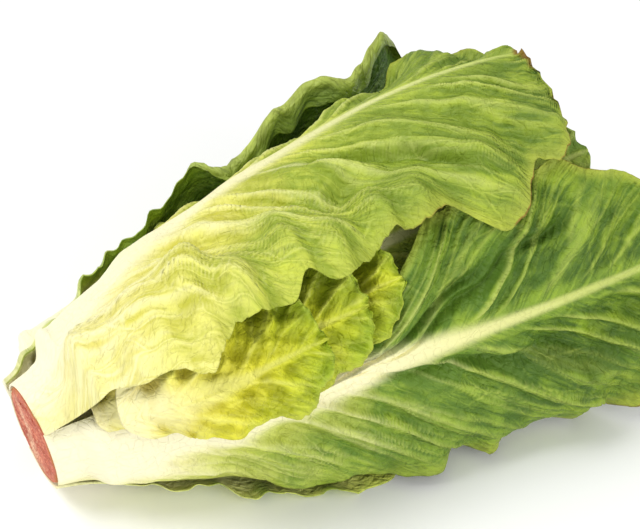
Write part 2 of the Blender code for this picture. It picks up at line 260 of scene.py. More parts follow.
@dataclass
class Pile:
    """The outermost surface of the leaves laid so far, over t and psi."""

    space: HeadSpace
    gap: float
    t_step: float
    length: float = 320 * MM
    girth: float = 360 * MM

    def __post_init__(self) -> None:
        """Starts with the bare core."""
        self.t_cells = round(self.length / self.t_step)
        self.psi_cells = round(self.girth / self.t_step)
        t = (np.arange(self.t_cells) + 0.5)[:, None] * self.t_step
        psi = (np.arange(self.psi_cells) + 0.5)[None, :] * TURN / self.psi_cells
        bare = self.space.core(np.maximum(t, LEAF_BASE * MM))
        self.share = bare / self.space.pile_scale(t, psi)

    def cells(self, t: Grid, psi: Grid) -> tuple[Grid, Grid]:
        """Finds the cells that hold these points.

        Args:
            t: Lengths along the axis.
            psi: Angles round it.

        Returns:
            The cells' rows and columns.
        """
        row = np.clip((t / self.t_step).astype(int), 0, self.t_cells - 1)
        column = np.floor(psi / TURN * self.psi_cells).astype(int) % self.psi_cells
        return row, column

    def need(self, t: Grid, psi: Grid, inner: Grid, times: int) -> Grid:
        """Measures how far a leaf's inner face still is inside the pile.

        Args:
            t: Distance along the axis at each vertex.
            psi: Turn round the axis.
            inner: The inner face's radius.
            times: How finely each cell of the leaf's grid is looked at.

        Returns:
            The missing rise at each fine point, as a share of the pile's scale.
        """
        shares = inner / self.space.pile_scale(t, psi)
        fine_t, fine_psi, fine_share = (refine(g, times) for g in (t, psi, shares))
        wrapped = np.pad(self.share, ((1, 1), (0, 0)), mode="edge")
        wrapped = np.pad(wrapped, ((0, 0), (1, 1)), mode="wrap")
        around = [
            wrapped[i : i + self.t_cells, j : j + self.psi_cells] for i in range(3) for j in range(3)]
        under = np.max(around, axis=0)[self.cells(fine_t, fine_psi)]
        return np.maximum(under - fine_share, 0.0)

    def add(self, t: Grid, psi: Grid, outer: Grid, times: int) -> None:
        """Lays a leaf's outer face, and a gap over it, on the pile.

        Args:
            t: Lengths along the axis.
            psi: Angles round it.
            outer: Radii of the outer face.
            times: How much finer the grid is laid.
        """
        shares = (outer + self.gap) / self.space.pile_scale(t, psi)
        fine_t, fine_psi, fine_share = (refine(g, times) for g in (t, psi, shares))
        np.maximum.at(self.share, self.cells(fine_t, fine_psi), fine_share)


class Tissue(Enum):
    """How far a leaf has greened."""

    BUD = "bud"
    HEART = "heart"
    INNER = "inner"
    MIDDLE = "middle"
    OUTER = "outer"
    NEAR = "near"
    UNDER = "under"
    DEEP = "deep"


@dataclass(frozen=True)
class LeafPlan:
    """One leaf's form: angles in degrees, lengths in millimetres."""

    name: str
    roll: float
    start: float
    tip: float
    layer: float
    right: tuple
    left: tuple
    tissue: Tissue
    rows: int = 24
    columns: int = 10
    drift: float = 0.0
    rounding: float = 0.74
    flare_right: float = 0.0
    flare_left: float = 0.0
    flare_span: tuple = (0.1, 0.6)
    off_floor: float = 0.0
    tip_lift: float = 0.0
    ruffle: float = 4.0
    wave: float = 52.0
    pleat: float = 1.6
    rib: float = 5.0
    rib_width: float = 13.0
    folds: tuple = ()
    seed: int = 1
    fine_rows: int = 120
    fine_columns: int = 80
    crinkle: float = 1.0
    blister: float = 1.0
    crumple: float = 0.0
    frill: float = 1.0
    base_round: float = 0.0
    creases: tuple = ()
    calm_tip: float = 0.0
    flap: float = 0.0
    flap_span: tuple = (0.48, 0.97)


@dataclass
class Sheet:
    """A leaf's middle surface in head coordinates, its two faces and its own measures."""

    t: Grid
    psi: Grid
    r: Grid
    outer: Grid
    inner: Grid
    along: Grid
    across: Grid
    length: Grid
    rib: Grid
    width: Grid | None = None
    relief: Grid | None = None
    vein: Grid | None = None
    flank_shade: Grid | None = None
    lean: Grid | float = 0.0


@dataclass(frozen=True)
class LeafShaper:
    """Shapes one leaf, first plainly and then with its veins, blisters and frilled margin."""

    plan: LeafPlan
    space: HeadSpace
    blade_half: float = 0.35 * MM
    gap: float = 0.6 * MM
    row_crowding: float = 0.06
    column_crowding: float = 1.4
    tip_power: float = 2.3
    tip_least: float = 0.12
    lobe_depth: float = 0.04
    rib_outward: float = 0.75
    floor_relief: float = 0.25
    subsamples: int = 4
    fine_half: float = 0.28 * MM
    vein_spacing: float = 19.0
    vein_sweep: float = 1.05
    vein_merge: float = 13.0
    vein_wander: float = 3.6
    force_mean: float = 0.64
    force_swing: float = 0.36
    fork_spread: float = 0.3
    fork_sharpness: float = 5.2
    rib_height: float = 1.5
    rib_thickness: float = 0.5
    big_pucker: float = 9.5
    small_pucker: float = 4.2
    crease_depth: float = 4.5
    frill_wave: float = 21.0
    frill_shares: tuple = (1.6, 0.9, 0.6)
    tip_wave: float = 19.0
    tip_shares: tuple = (0.9, 0.5)
    tooth_wave: float = 9.7
    tooth_shares: tuple = (0.5, 0.45, 0.35, 0.2)
    ragged_wave: float = 11.0
    ragged_shares: tuple = (0.8, 0.5)
    round_reach: float = 30 * MM
    base_reach: float = 2.1 * MM
    base_fade: float = 9 * MM
    cut_reach: float = 22.75 * MM
    margin_thinning: float = 0.45
    settling_turns: int = 3
    flap_columns: int = 28
    flap_bend: float = 2.4
    flap_turn: float = 2.7
    flap_least: float = 0.3
    flap_ripple: float = 0.09

    def tip_share(self, u: Grid) -> Grid:
        """Says how much of its full width the leaf still has at u."""
        past = np.clip((u - self.plan.rounding) / (1 - self.plan.rounding), 0.0, 1.0)
        return np.maximum((1 - past**self.tip_power) ** (1 / self.tip_power), self.tip_least)

    def plain(self) -> Sheet:
        """Shapes the plain leaf.

        Returns:
            The leaf as it stands before it is laid on others.
        """
        plan = self.plan
        step = np.linspace(0.0, 1.0, plan.rows + 1)
        u = (step - self.row_crowding * np.sin(TURN * step))[:, None]
        across = np.linspace(-1.0, 1.0, plan.columns + 1)[None, :]
        edge = np.abs(across) ** self.column_crowding
        v = np.sign(across) * edge
        length = (plan.tip - plan.start) * u
        t = (plan.start + length) * MM + 0 * v
        draw = random.Random(plan.seed)
        past_base = smoothstep(0.05, 0.3, u)

        reach = 0.0
        for side, margin in ((-1, plan.right), (1, plan.left)):
            lobes = 1 + self.lobe_depth * past_base * waves(draw, length, 0.6 * plan.wave)
            stations = np.linspace(0.0, 1.0, len(margin))
            reach = reach + np.where(v * side > 0, np.interp(u, stations, margin) * lobes, 0.0)
        reach = np.radians(reach) * self.tip_share(u)
        psi = np.radians(plan.roll + plan.drift * u**3) + v * reach

        core = self.space.core(t)
        outline = self.space.outline(t, psi)
        width = edge * reach * outline / MM
        rib_half_width = plan.rib_width * (1 - 0.86 * smoothstep(0.0, 0.9, u))
        rib = np.exp(-((width / rib_half_width) ** 2))
        thick = plan.rib * (1 - 0.9 * smoothstep(0.0, 0.85, u)) * MM * rib
        outer = self.blade_half + self.rib_outward * thick
        inner = self.blade_half + (1 - self.rib_outward) * thick

        r = core + inner + self.gap / 3
        r = r + plan.layer * (outline - outer - inner - self.gap / 3 - core)
        flare = np.where(v < 0, plan.flare_right, plan.flare_left) * self.tip_share(u)
        r += flare * MM * smoothstep(*plan.flare_span, u) * edge**2.5
        r += plan.tip_lift * MM * smoothstep(0.6, 1.0, u)
        relief = 0.0
        for side in (-1, 1):
            on_side = (v * side > 0) * smoothstep(0.3, 1.0, edge)
            relief += plan.ruffle * on_side * waves(draw, length, plan.wave)
        body = smoothstep(0.1, 0.35, edge) * (1 - smoothstep(0.7, 1.0, edge))
        relief += plan.pleat * body * waves(draw, length - 0.8 * width, 0.7 * plan.wave, (1.0,))
        for depth, at, broad, along, long in plan.folds:
            relief -= depth * np.exp(-(((v - at) / broad) ** 2) - ((u - along) / long) ** 2)
        pressed = 1 - (1 - self.floor_relief) * smoothstep(0.3, 0.8, -np.cos(psi))
        r += relief * MM * past_base * pressed
        r = np.minimum(r, self.space.floor(t, psi, outer + plan.off_floor * MM))
        r = np.maximum(r, core + inner + self.gap / 3)
        return Sheet(t, psi, r, outer, inner, u + 0 * v, v + 0 * u, length + 0 * v, rib)

    def lay(self, sheet: Sheet, pile: Pile) -> Sheet:
        """Lifts the plain leaf clear of the pile and adds it there.

        Args:
            sheet: The plain leaf.
            pile: The leaves laid so far.

        Returns:
            The same leaf in its place.
        """
        scale = self.space.pile_scale(sheet.t, sheet.psi)
        for _ in range(2):
            steep = self.space.steepness(sheet.t, sheet.psi, sheet.r)
            need = pile.need(sheet.t, sheet.psi, sheet.r - sheet.inner * steep, self.subsamples)
            need = spread_max(need, self.subsamples)[:: self.subsamples, :: self.subsamples]
            past_base = smoothstep(4 * MM, 22 * MM, sheet.t - sheet.t[0, 0])
            sheet.r = sheet.r + np.maximum(need, past_base * soften(soften(need))) * scale
        pile.add(sheet.t, sheet.psi, sheet.r + sheet.outer * steep, 2 * self.subsamples)
        return sheet

    def extent(self, sheet: Sheet) -> tuple[Grid, Grid]:
        """Gives the plain leaf's lowest and highest corners.

        Args:
            sheet: The plain leaf.

        Returns:
            The lowest and the highest corner of its box.
        """
        steep = self.space.steepness(sheet.t, sheet.psi, sheet.r)
        faces = [
            self.space.place(sheet.t, sheet.psi, sheet.r + sheet.outer * steep).reshape(-1, 3),
            self.space.place(sheet.t, sheet.psi, sheet.r - sheet.inner * steep).reshape(-1, 3)]
        points = np.concatenate(faces)
        return points.min(axis=0), points.max(axis=0)

    def blisters(self, x: Grid, y: Grid, cell: float, seed: int) -> tuple[Grid, Grid]:
        """Makes the puckers between a leaf's small veins.

        Args:
            x: Distance along the leaf, in millimetres.
            y: Distance across it.
            cell: A pucker's size.
            seed: Fixes where they are.

        Returns:
            How near each point is to a pucker's middle, and how near to the veins between.
        """
        column, row = np.floor(x / cell).astype(int), np.floor(y / cell).astype(int)
        nearest = np.full(x.shape, 9.0)
        second = np.full(x.shape, 9.0)
        for i in (-1, 0, 1):
            for j in (-1, 0, 1):
                a, b = column + i, row + j
                mix = (a * 73856093) ^ (b * 19349663) ^ (seed * 83492791)
                jitter_x = ((mix & 1023) / 1023.0) * 0.8 + 0.1
                jitter_y = (((mix >> 10) & 1023) / 1023.0) * 0.8 + 0.1
                distance = np.hypot(x / cell - (a + jitter_x), y / cell - (b + jitter_y))
                second = np.minimum(second, np.maximum(nearest, distance))
                nearest = np.minimum(nearest, distance)
        return 1 - np.clip(nearest, 0, 1) ** 2, 1 - smoothstep(0.0, 0.22, second - nearest)

    def branch(self, length: Grid, width: Grid, side: Grid, edge: Grid) -> tuple:
        """Lays out the side ribs, uneven in spacing and force, and forked towards the margin.

        Args:
            length: Distance along the leaf, in millimetres.
            width: Distance from the midrib.
            side: -1 or 1 for the leaf's two halves.
            edge: Distance from the midrib, as a share of the leaf's half.

        Returns:
            How near each point is to a side rib, that rib's force, and how near it is to a fork.
        """
        seed = self.plan.seed
        wander = 0.8 * np.sin(width / 13.0 + side * 1.7 + seed)
        wander = wander + self.vein_wander * np.sin(length / 27.0 + side * 2.0 + seed)
        merging = self.vein_merge * (1 - np.exp(-width / 9.0))
        lateral = (length - merging - self.vein_sweep * width + wander) / self.vein_spacing
        lateral = lateral + 0.5 * (side > 0)
        lateral = lateral + 0.2 * np.sin(2.3 * lateral + side + seed)
        off = np.abs(lateral % 1.0 - 0.5)
        number = np.floor(lateral)
        force = self.force_mean + self.force_swing * np.sin(2.7 * number * number + 1.3 * side + seed)
        arm = self.fork_spread * smoothstep(0.12, 0.8, edge)
        fork = np.clip(1 - self.fork_sharpness * np.abs(off - arm), 0, 1)
        return 1 - 2 * off, force, fork * smoothstep(0.15, 0.5, edge)

    def crease(self, sheet: Sheet) -> Grid:
        """Says how deep each point lies in the plan's long sharp creases, from 0 to 1.

        Args:
            sheet: The fine leaf.

        Returns:
            The share of a full crease at each point.
        """
        deep = 0.0 * sheet.along
        for start, end, first, last, spread in self.plan.creases:
            share = np.clip((sheet.along - first) / (last - first), 0, 1)
            middle = start + (end - start) * share + 0.02 * np.sin(sheet.length / 6.0)
            line = np.exp(-(((sheet.across - middle) / spread) ** 2))
            ends = smoothstep(first - 0.06, first + 0.12, sheet.along)
            ends = ends * (1 - smoothstep(last - 0.1, last + 0.03, sheet.along))
            deep = np.maximum(deep, line * ends)
        return deep

    def enlarged(self, plain: Sheet) -> Sheet:
        """Enlarges the laid leaf to its fine grid and measures its width.

        Args:
            plain: The leaf as it was laid.

        Returns:
            The same leaf on its fine grid.
        """
        size = self.plan.fine_rows, self.plan.fine_columns
        fields = (
            plain.t, plain.psi, plain.r, plain.outer, plain.inner, plain.along, plain.across,
            plain.length, plain.rib)
        fine = Sheet(*(enlarge(field, *size) for field in fields))
        middle = np.radians(self.plan.roll + self.plan.drift * fine.along**3)
        fine.width = np.abs(fine.psi - middle) * fine.r / MM
        return fine

    def puckers(self, sheet: Sheet, side: Grid, shift: float) -> tuple:
        """Makes two sizes of puckers, one within the other.

        Args:
            sheet: The fine leaf.
            side: -1 or 1 for the leaf's two halves.
            shift: Where this leaf's pattern starts.

        Returns:
            The big and the small puckers, and how much thicker the veins between them are.
        """
        length, width, seed = sheet.length, sheet.width, self.plan.seed
        drift = 1.5 * np.sin(length / 5.3 + width / 7.1) + 1.2 * np.sin(width / 4.1 - length / 9.0)
        x, y = length + shift + drift, width + shift
        big, big_vein = self.blisters(
            x - 0.5 * width, y - drift + 0.15 * width + 40 * side, self.big_pucker, seed)
        small, small_vein = self.blisters(
            x - 0.3 * length + 0.2 * width, y + 70 * side, self.small_pucker, seed + 9)
        return big, small, 0.12 * big_vein + 0.07 * small_vein

    def frilled(self, sheet: Sheet, side: Grid, edge: Grid, draw: random.Random) -> Grid:
        """Waves the leaf's margins and its tip.

        Args:
            sheet: The fine leaf.
            side: -1 or 1 for the leaf's two halves.
            edge: Distance from the midrib, as a share of the leaf's half.
            draw: Gives each wave its start.

        Returns:
            How far each point moves outwards, in millimetres.
        """
        frill = 0.0
        for which in (-1, 1):
            on_side = np.where(side == which, 1.0, 0.0) * smoothstep(0.55, 1.0, edge)
            gusts = 0.7 + 0.5 * np.sin(sheet.length / 29.0 + which + self.plan.seed)
            waved = waves(draw, sheet.length, self.frill_wave, self.frill_shares)
            frill = frill + on_side * gusts * waved
        tip_edge = smoothstep(0.82, 1.0, sheet.along) * (1 - edge)
        return frill + tip_edge * waves(draw, sheet.width * side + 7, self.tip_wave, self.tip_shares)

    def roughen(self, sheet: Sheet) -> Grid:
        """Adds side ribs, puckers and a frilled margin to a fine leaf's middle surface.

        Args:
            sheet: The fine leaf, whose r, relief, vein and painted flank shade are changed.

        Returns:
            How much thicker each point's veins make it on the outer face.
        """
        plan = self.plan
        u, length, width = sheet.along, sheet.length, sheet.width
        edge = np.clip(np.abs(sheet.across), 0, 1)
        side = np.sign(sheet.across)
        draw = random.Random(plan.seed + 500)
        shift = draw.uniform(0, 900)
        ridge, force, fork = self.branch(length, width, side, edge)
        body = smoothstep(0.04, 0.18, edge) * smoothstep(0.02, 0.12, u)
        body = body * (1 - 0.75 * smoothstep(0.78, 1.0, edge))
        body = body * (1 - np.clip(1.3 * sheet.rib, 0, 1) * (1 - 0.7 * u))

        big, small, net = self.puckers(sheet, side, shift)
        pleats = 1.2 * ridge**2.4 * force + 0.35 * fork**2
        hollow = 1 - 0.7 * pleats
        relief = plan.crinkle * (self.rib_height * pleats - 0.5 * big * hollow)
        relief = relief - plan.blister * (0.35 * big + 0.38 * small) * hollow
        folds = np.sin((length + 0.7 * width) / 2.3 + 2 * side) * np.sin((width - 0.3 * length) / 3.4)
        folds = folds + 0.7 * np.sin(length / 1.7 - width / 2.9 + shift)
        deep = self.crease(sheet)
        relief = (relief + plan.crumple * folds) * body - self.crease_depth * deep
        frill = self.frilled(sheet, side, edge, draw)
        calm = 1 - plan.calm_tip * smoothstep(0.42, 0.6, u)
        pressed = 1 - 0.75 * smoothstep(0.3, 0.8, -np.cos(sheet.psi))
        relief = (relief + frill * plan.frill * calm * smoothstep(0.06, 0.22, u)) * pressed
        sheet.r = sheet.r + relief * MM

        full = 2.4 + 2.4 * plan.crinkle + 2.0 * plan.crumple
        sheet.relief = np.clip(0.52 + relief / full, 0.0, 1.0)
        sheet.vein = smoothstep(0.66, 1.0, ridge) * (0.3 + 0.7 * force)
        sheet.vein = np.maximum(sheet.vein, 0.6 * smoothstep(0.45, 1.0, fork))
        sheet.vein = sheet.vein * body * (1 - 0.55 * edge)
        # Painted shade: the flanks of the side ribs, and the deep creases, are marked to be darkened in
        # the finish.
        flank_shade = smoothstep(0.25, 0.6, ridge) * (1 - smoothstep(0.62, 0.84, ridge)) * force
        uneven = 0.6 + 0.4 * np.sin(length / 7.3 + width / 5.1)
        sheet.flank_shade = np.maximum(flank_shade * body * uneven, deep)
        return (self.rib_thickness * sheet.vein + net * body) * (1 - 0.5 * u) * MM

    def notch(self, sheet: Sheet) -> None:
        """Cuts small teeth in a fine leaf's margin and shapes its base.

        Args:
            sheet: The fine leaf, which is changed.
        """
        plan = self.plan
        side = np.sign(sheet.across)
        edge = np.clip(np.abs(sheet.across), 0, 1)
        draw = random.Random(plan.seed + 700)
        calm = 0.55 + 0.45 * np.sin(sheet.length / 13.0 + 2 * side + plan.seed)
        teeth = calm * waves(draw, sheet.length + 3 * side, self.tooth_wave, self.tooth_shares)
        teeth = teeth * smoothstep(0.88, 1.0, edge) * smoothstep(0.1, 0.25, sheet.along)
        sheet.psi = sheet.psi + side * teeth * MM / sheet.r
        ragged = waves(draw, sheet.width * side, self.ragged_wave, self.ragged_shares)
        from_base = sheet.t - sheet.t[0, 0]
        sheet.t = sheet.t + smoothstep(0.93, 1.0, sheet.along) * ragged * MM
        rounded = plan.base_round * MM * edge**2
        sheet.t = sheet.t + rounded * (1 - smoothstep(0, self.round_reach, from_base))
        if plan.start == LEAF_BASE:
            sheet.t = sheet.t - self.base_reach * (1 - smoothstep(0.0, self.base_fade, from_base))

    def crinkled(self, plain: Sheet, pile: Pile) -> Sheet:
        """Enlarges the laid leaf and gives it its fine relief, clear of the fine pile.

        Args:
            plain: The plain leaf in its place.
            pile: The fine leaves laid so far.

        Returns:
            The fine leaf.
        """
        plan = self.plan
        fine = self.enlarged(plain)
        extra = self.roughen(fine)
        self.notch(fine)
        near_margin = smoothstep(0.8, 1.0, np.maximum(np.abs(fine.across), fine.along))
        thin = 1 - self.margin_thinning * near_margin
        outer = np.maximum(fine.outer - self.blade_half, 0) + (self.fine_half + extra) * thin
        inner = np.maximum(fine.inner - self.blade_half, 0) + self.fine_half * thin
        t, psi, r = fine.t, fine.psi, fine.r
        if plan.off_floor >= 0:
            r = np.minimum(r, self.space.floor(t, psi, outer + plan.off_floor * MM * 0.6))

        scale = self.space.pile_scale(t, psi)
        for turn in range(self.settling_turns):
            steep = self.space.steepness(t, psi, r)
            need = spread_max(pile.need(t, psi, r - inner * steep, 1), 1)
            even = spread_max(need, 2)
            for _ in range(6 if turn == 0 else 2):
                even = soften(even)
            r = r + np.maximum(need, even) * scale
        steep = self.space.steepness(t, psi, r)
        inside = r - inner * steep
        inside = np.where(t < LEAF_BASE * MM, np.maximum(inside, self.cut_reach), inside)
        outside = np.maximum(r + outer * steep, inside + self.fine_half)
        fine.r, fine.inner, fine.outer = r, r - inside, outside - r
        pile.add(t, psi, outside, 3)
        return self.folded(fine) if plan.flap else fine

    def folded(self, sheet: Sheet) -> Sheet:
        """Adds the strip of the right margin that has folded over towards the heart.

        Args:
            sheet: The fine leaf up to the fold.

        Returns:
            The leaf with the strip's columns before its own.
        """
        low, high = self.plan.flap_span
        rise = np.sin(math.pi * np.clip((sheet.along[:, :1] - low) / (high - low), 0, 1)) ** 0.6
        reach = self.flap_least + self.plan.flap * rise
        past = reach * np.linspace(1.0, 0.0, self.flap_columns, endpoint=False)[None, :]
        angle = np.minimum(past / self.flap_bend, self.flap_turn)
        straight = past - self.flap_bend * angle
        length = sheet.length[:, :1] + 0 * past
        ripple = self.flap_ripple * past * np.sin(length / 2.9 + past / 6.0)
        ripple = ripple * smoothstep(2.0, 8.0, past)
        out = self.flap_bend * np.sin(angle) + straight * np.cos(angle) + ripple * np.sin(angle)
        back = self.flap_bend * (1 - np.cos(angle)) + straight * np.sin(angle)
        back = back - ripple * np.cos(angle)
        edge = {name: getattr(sheet, name)[:, :1] + 0 * past for name in (
            "t", "psi", "r", "along", "rib", "width")}
        half = self.fine_half
        width = edge["width"] + past
        ridge, force, _ = self.branch(length, width, -1.0, 1.0 + 0 * width)
        vein = smoothstep(0.62, 1.0, ridge) * force
        strip = {
            "t": edge["t"], "psi": edge["psi"] - out * MM / edge["r"], "r": edge["r"] - back * MM,
            "outer": half * np.cos(angle), "inner": half * np.cos(angle), "along": edge["along"],
            "across": past / 90 - 1.0, "length": length, "rib": 0 * past, "width": width,
            "relief": 0.55 + 0.2 * np.sin(length / 3.1 + past / 2.0), "vein": vein,
            # The folded strip gets a light painted shade along its side ribs.
            "flank_shade": 0.2 * force,
            "lean": half * np.sin(angle) / edge["r"]}
        sheet.lean = 0 * sheet.r
        return Sheet(**{
            name: np.concatenate([field, getattr(sheet, name)], axis=1)
            for name, field in strip.items()})


@dataclass(frozen=True)
class SheetMesher:
    """Turns a fine leaf into a closed mesh with its measures on it."""

    space: HeadSpace
    shift: tuple
    per_unit: float = 10.0

    def rim(self, rows: int, columns: int) -> Grid:
        """Gives the vertices round the edge of one face, in order.

        Args:
            rows: The face's rows.
            columns: The face's columns.

        Returns:
            The vertices' numbers.
        """
        index = np.arange(rows * columns).reshape(rows, columns)
        return np.concatenate(
            [index[0, :], index[1:, -1], index[-1, -2::-1], index[-2:0:-1, 0]])

    def build(self, name: str, sheet: Sheet, floor: float) -> bpy.types.Object:
        """Builds the leaf's object.

        Args:
            name: The object's name.
            sheet: The fine leaf.
            floor: The lowest level that it may reach.

        Returns:
            The new object, in the scene.
        """
        rows, columns = sheet.t.shape
        count = rows * columns
        points = np.concatenate([
            self.space.place(sheet.t, sheet.psi - sheet.lean, sheet.r + sheet.outer).reshape(-1, 3),
            self.space.place(sheet.t, sheet.psi + sheet.lean, sheet.r - sheet.inner).reshape(-1, 3)])
        points -= np.array(self.shift)
        points[:count, 2] = np.maximum(points[:count, 2], floor)
        points[count:, 2] = np.maximum(points[count:, 2], floor + 0.5 * MM)
        index = np.arange(count).reshape(rows, columns)
        near, right = index[:-1, :-1].ravel(), index[:-1, 1:].ravel()
        beyond, up = index[1:, 1:].ravel(), index[1:, :-1].ravel()
        outside = np.stack([near, up, beyond, right], axis=1)
        inside = np.stack([near, right, beyond, up], axis=1) + count
        rim = self.rim(rows, columns)
        after = np.roll(rim, -1)
        edge = np.stack([rim, after, after + count, rim + count], axis=1)
        quads = np.concatenate([outside, inside, edge]).astype(np.int32)

        mesh = bpy.data.meshes.new(name)
        mesh.vertices.add(len(points))
        mesh.vertices.foreach_set("co", points.astype(np.float32).ravel())
        mesh.loops.add(quads.size)
        mesh.loops.foreach_set("vertex_index", quads.ravel())
        mesh.polygons.add(len(quads))
        mesh.polygons.foreach_set("loop_start", np.arange(0, quads.size, 4, dtype=np.int32))
        mesh.update(calc_edges=True)
        mesh.validate()
        mesh.shade_smooth()

        side = np.sign(sheet.across)
        place = np.stack([sheet.length, sheet.width * side], axis=-1).reshape(-1, 2) / self.per_unit
        flat = mesh.uv_layers.new(name="leaf")
        corners = place[quads.ravel() % count]
        flat.data.foreach_set("uv", corners.astype(np.float32).ravel())
        self.mark(mesh, "tissue", (sheet.rib, sheet.along, np.abs(sheet.across)), (1.0, 0.0))
        # The shape measures hold the relief, the veins and the painted shade beside the ribs.
        self.mark(mesh, "shape", (sheet.relief, sheet.vein, sheet.flank_shade), (1.0, 1.0))
        obj = bpy.data.objects.new(name, mesh)
        bpy.context.scene.collection.objects.link(obj)
        return obj

    def mark(self, mesh: bpy.types.Mesh, name: str, fields: tuple, last: tuple) -> None:
        """Stores three measures, and a last one that differs between the faces, on a mesh.

        Args:
            mesh: The leaf's mesh.
            name: What the measures are called there.
            fields: Three grids of measures.
            last: The last measure on the outer and on the inner face.
        """
        rgb = np.stack([np.clip(f, 0, 1).ravel() for f in fields], axis=-1)
        faces = [np.column_stack([rgb, np.full(len(rgb), value)]) for value in last]
        attribute = mesh.attributes.new(name, "FLOAT_COLOR", "POINT")
        attribute.data.foreach_set("color", np.concatenate(faces).astype(np.float32).ravel())


class Number:
    """A number on a shader socket, with arithmetic that adds Math nodes."""

    def __init__(self, graph: "Graph", socket: bpy.types.NodeSocket) -> None:
        """Wraps a socket of a graph."""
        self.graph = graph
        self.socket = socket

    def math(self, operation: str, *values: Any) -> "Number":
        """Adds one Math node.

        Args:
            operation: The node's operation.
            values: Its inputs, numbers or wrapped sockets.

        Returns:
            The result.
        """
        node = self.graph.node("ShaderNodeMath", {"operation": operation}, dict(enumerate(values)))
        return Number(self.graph, node.outputs[0])

    def __add__(self, other: Any) -> "Number":
        """Adds."""
        return self.math("ADD", self, other)

    def __radd__(self, other: Any) -> "Number":
        """Adds to a plain number."""
        return self.math("ADD", other, self)

    def __sub__(self, other: Any) -> "Number":
        """Subtracts."""
        return self.math("SUBTRACT", self, other)

    def __rsub__(self, other: Any) -> "Number":
        """Subtracts from a plain number."""
        return self.math("SUBTRACT", other, self)

    def __mul__(self, other: Any) -> "Number":
        """Multiplies."""
        return self.math("MULTIPLY", self, other)

    def __rmul__(self, other: Any) -> "Number":
        """Multiplies a plain number."""
        return self.math("MULTIPLY", other, self)

    def __pow__(self, other: Any) -> "Number":
        """Raises to a power."""
        return self.math("POWER", self, other)

    def size(self) -> "Number":
        """Drops the sign."""
        return self.math("ABSOLUTE", self)

    def rise(self, low: float, high: float) -> "Number":
        """Rises evenly from 0 at low to 1 at high.

        Args:
            low: Where it starts to rise.
            high: Where it has risen.

        Returns:
            The risen number.
        """
        node = self.graph.node(
            "ShaderNodeMapRange", {"interpolation_type": "SMOOTHSTEP"},
            {"Value": self, "From Min": low, "From Max": high})
        return Number(self.graph, node.outputs[0])


class Graph:
    """A material's nodes."""

    def __init__(self, name: str) -> None:
        """Starts an empty material.

        Args:
            name: What the material is called.
        """
        self.material = bpy.data.materials.new(name)
        self.material.use_nodes = True
        self.tree = self.material.node_tree
        self.tree.nodes.clear()

    def node(self, kind: str, settings: dict, inputs: dict) -> bpy.types.Node:
        """Adds any node.

        Args:
            kind: The node's type.
            settings: Its properties, set first; "stops" are a ramp's places and colours.
            inputs: Values or links for its sockets, by name or number.

        Returns:
            The new node.
        """
        node = self.tree.nodes.new(kind)
        for key, value in settings.items():
            if key == "stops":
                ramp = node.color_ramp
                while len(ramp.elements) < len(value):
                    ramp.elements.new(0.5)
                for element, (position, colour) in zip(ramp.elements, value):
                    element.position = position
                    element.color = (*colour, 1.0)
            else:
                setattr(node, key, value)
        for key, value in inputs.items():
            socket = node.inputs[key]
            if isinstance(value, Number):
                self.tree.links.new(value.socket, socket)
            elif isinstance(value, bpy.types.NodeSocket):
                self.tree.links.new(value, socket)
            elif socket.type == "RGBA":
                socket.default_value = (*value, 1.0)
            else:
                socket.default_value = value
        return node

    def blend(self, first: Any, second: Any, factor: Any, kind: str = "MIX") -> bpy.types.NodeSocket:
        """Mixes two colours.

        Args:
            first: The colour at factor 0.
            second: The colour at factor 1.
            factor: The share of the second.
            kind: How the two are mixed.

        Returns:
            The mixed colour.
        """
        node = self.node(
            "ShaderNodeMix", {"data_type": "RGBA", "blend_type": kind},
            {0: factor, 6: first, 7: second})
        return node.outputs[2]

    def ramp(self, value: Number, stops: tuple) -> bpy.types.NodeSocket:
        """Turns a number into a colour."""
        return self.node("ShaderNodeValToRGB", {"stops": stops}, {0: value}).outputs[0]

    def noise(self, place: Any, scale: float, detail: float = 3.0) -> Number:
        """Gives a soft cloud between 0 and 1.

        Args:
            place: Where each point is.
            scale: How small the clouds are.
            detail: How many finer clouds lie in them.

        Returns:
            The cloud.
        """
        node = self.node(
            "ShaderNodeTexNoise", {}, {"Vector": place, "Scale": scale, "Detail": detail})
        return Number(self, node.outputs[0])

    def cracks(self, place: Any, scale: float) -> Number:
        """Gives the distance to the nearest line of a net of cells.

        Args:
            place: Where each point is.
            scale: How small the cells are.

        Returns:
            The distance.
        """
        node = self.node(
            "ShaderNodeTexVoronoi", {"feature": "DISTANCE_TO_EDGE"},
            {"Vector": place, "Scale": scale})
        return Number(self, node.outputs[0])

    def vector(self, operation: str, *values: Any) -> bpy.types.NodeSocket:
        """Works on vectors.

        Args:
            operation: What is done with them.
            values: What it is done with.

        Returns:
            The outcome.
        """
        node = self.node(
            "ShaderNodeVectorMath", {"operation": operation}, dict(enumerate(values)))
        return node.outputs[0]

    def parts(self, socket: bpy.types.NodeSocket) -> tuple["Number", "Number", "Number"]:
        """Splits a vector or colour in three."""
        node = self.node("ShaderNodeSeparateXYZ", {}, {0: socket})
        return tuple(Number(self, out) for out in node.outputs)

    def bump(self, height: Number, distance: float, strength: float = 1.0) -> bpy.types.NodeSocket:
        """Gives a normal that follows a height.

        Args:
            height: The height at each point.
            distance: How much a height of 1 is.
            strength: The share of it that shows.

        Returns:
            The normal.
        """
        node = self.node(
            "ShaderNodeBump", {}, {"Height": height, "Distance": distance, "Strength": strength})
        return node.outputs[0]

    def surface(self, inputs: dict) -> bpy.types.Material:
        """Ends the material in one shader.

        Args:
            inputs: The shader's sockets.

        Returns:
            The finished material.
        """
        shader = self.node("ShaderNodeBsdfPrincipled", {}, inputs)
        self.node("ShaderNodeOutputMaterial", {}, {"Surface": shader.outputs[0]})
        return self.material


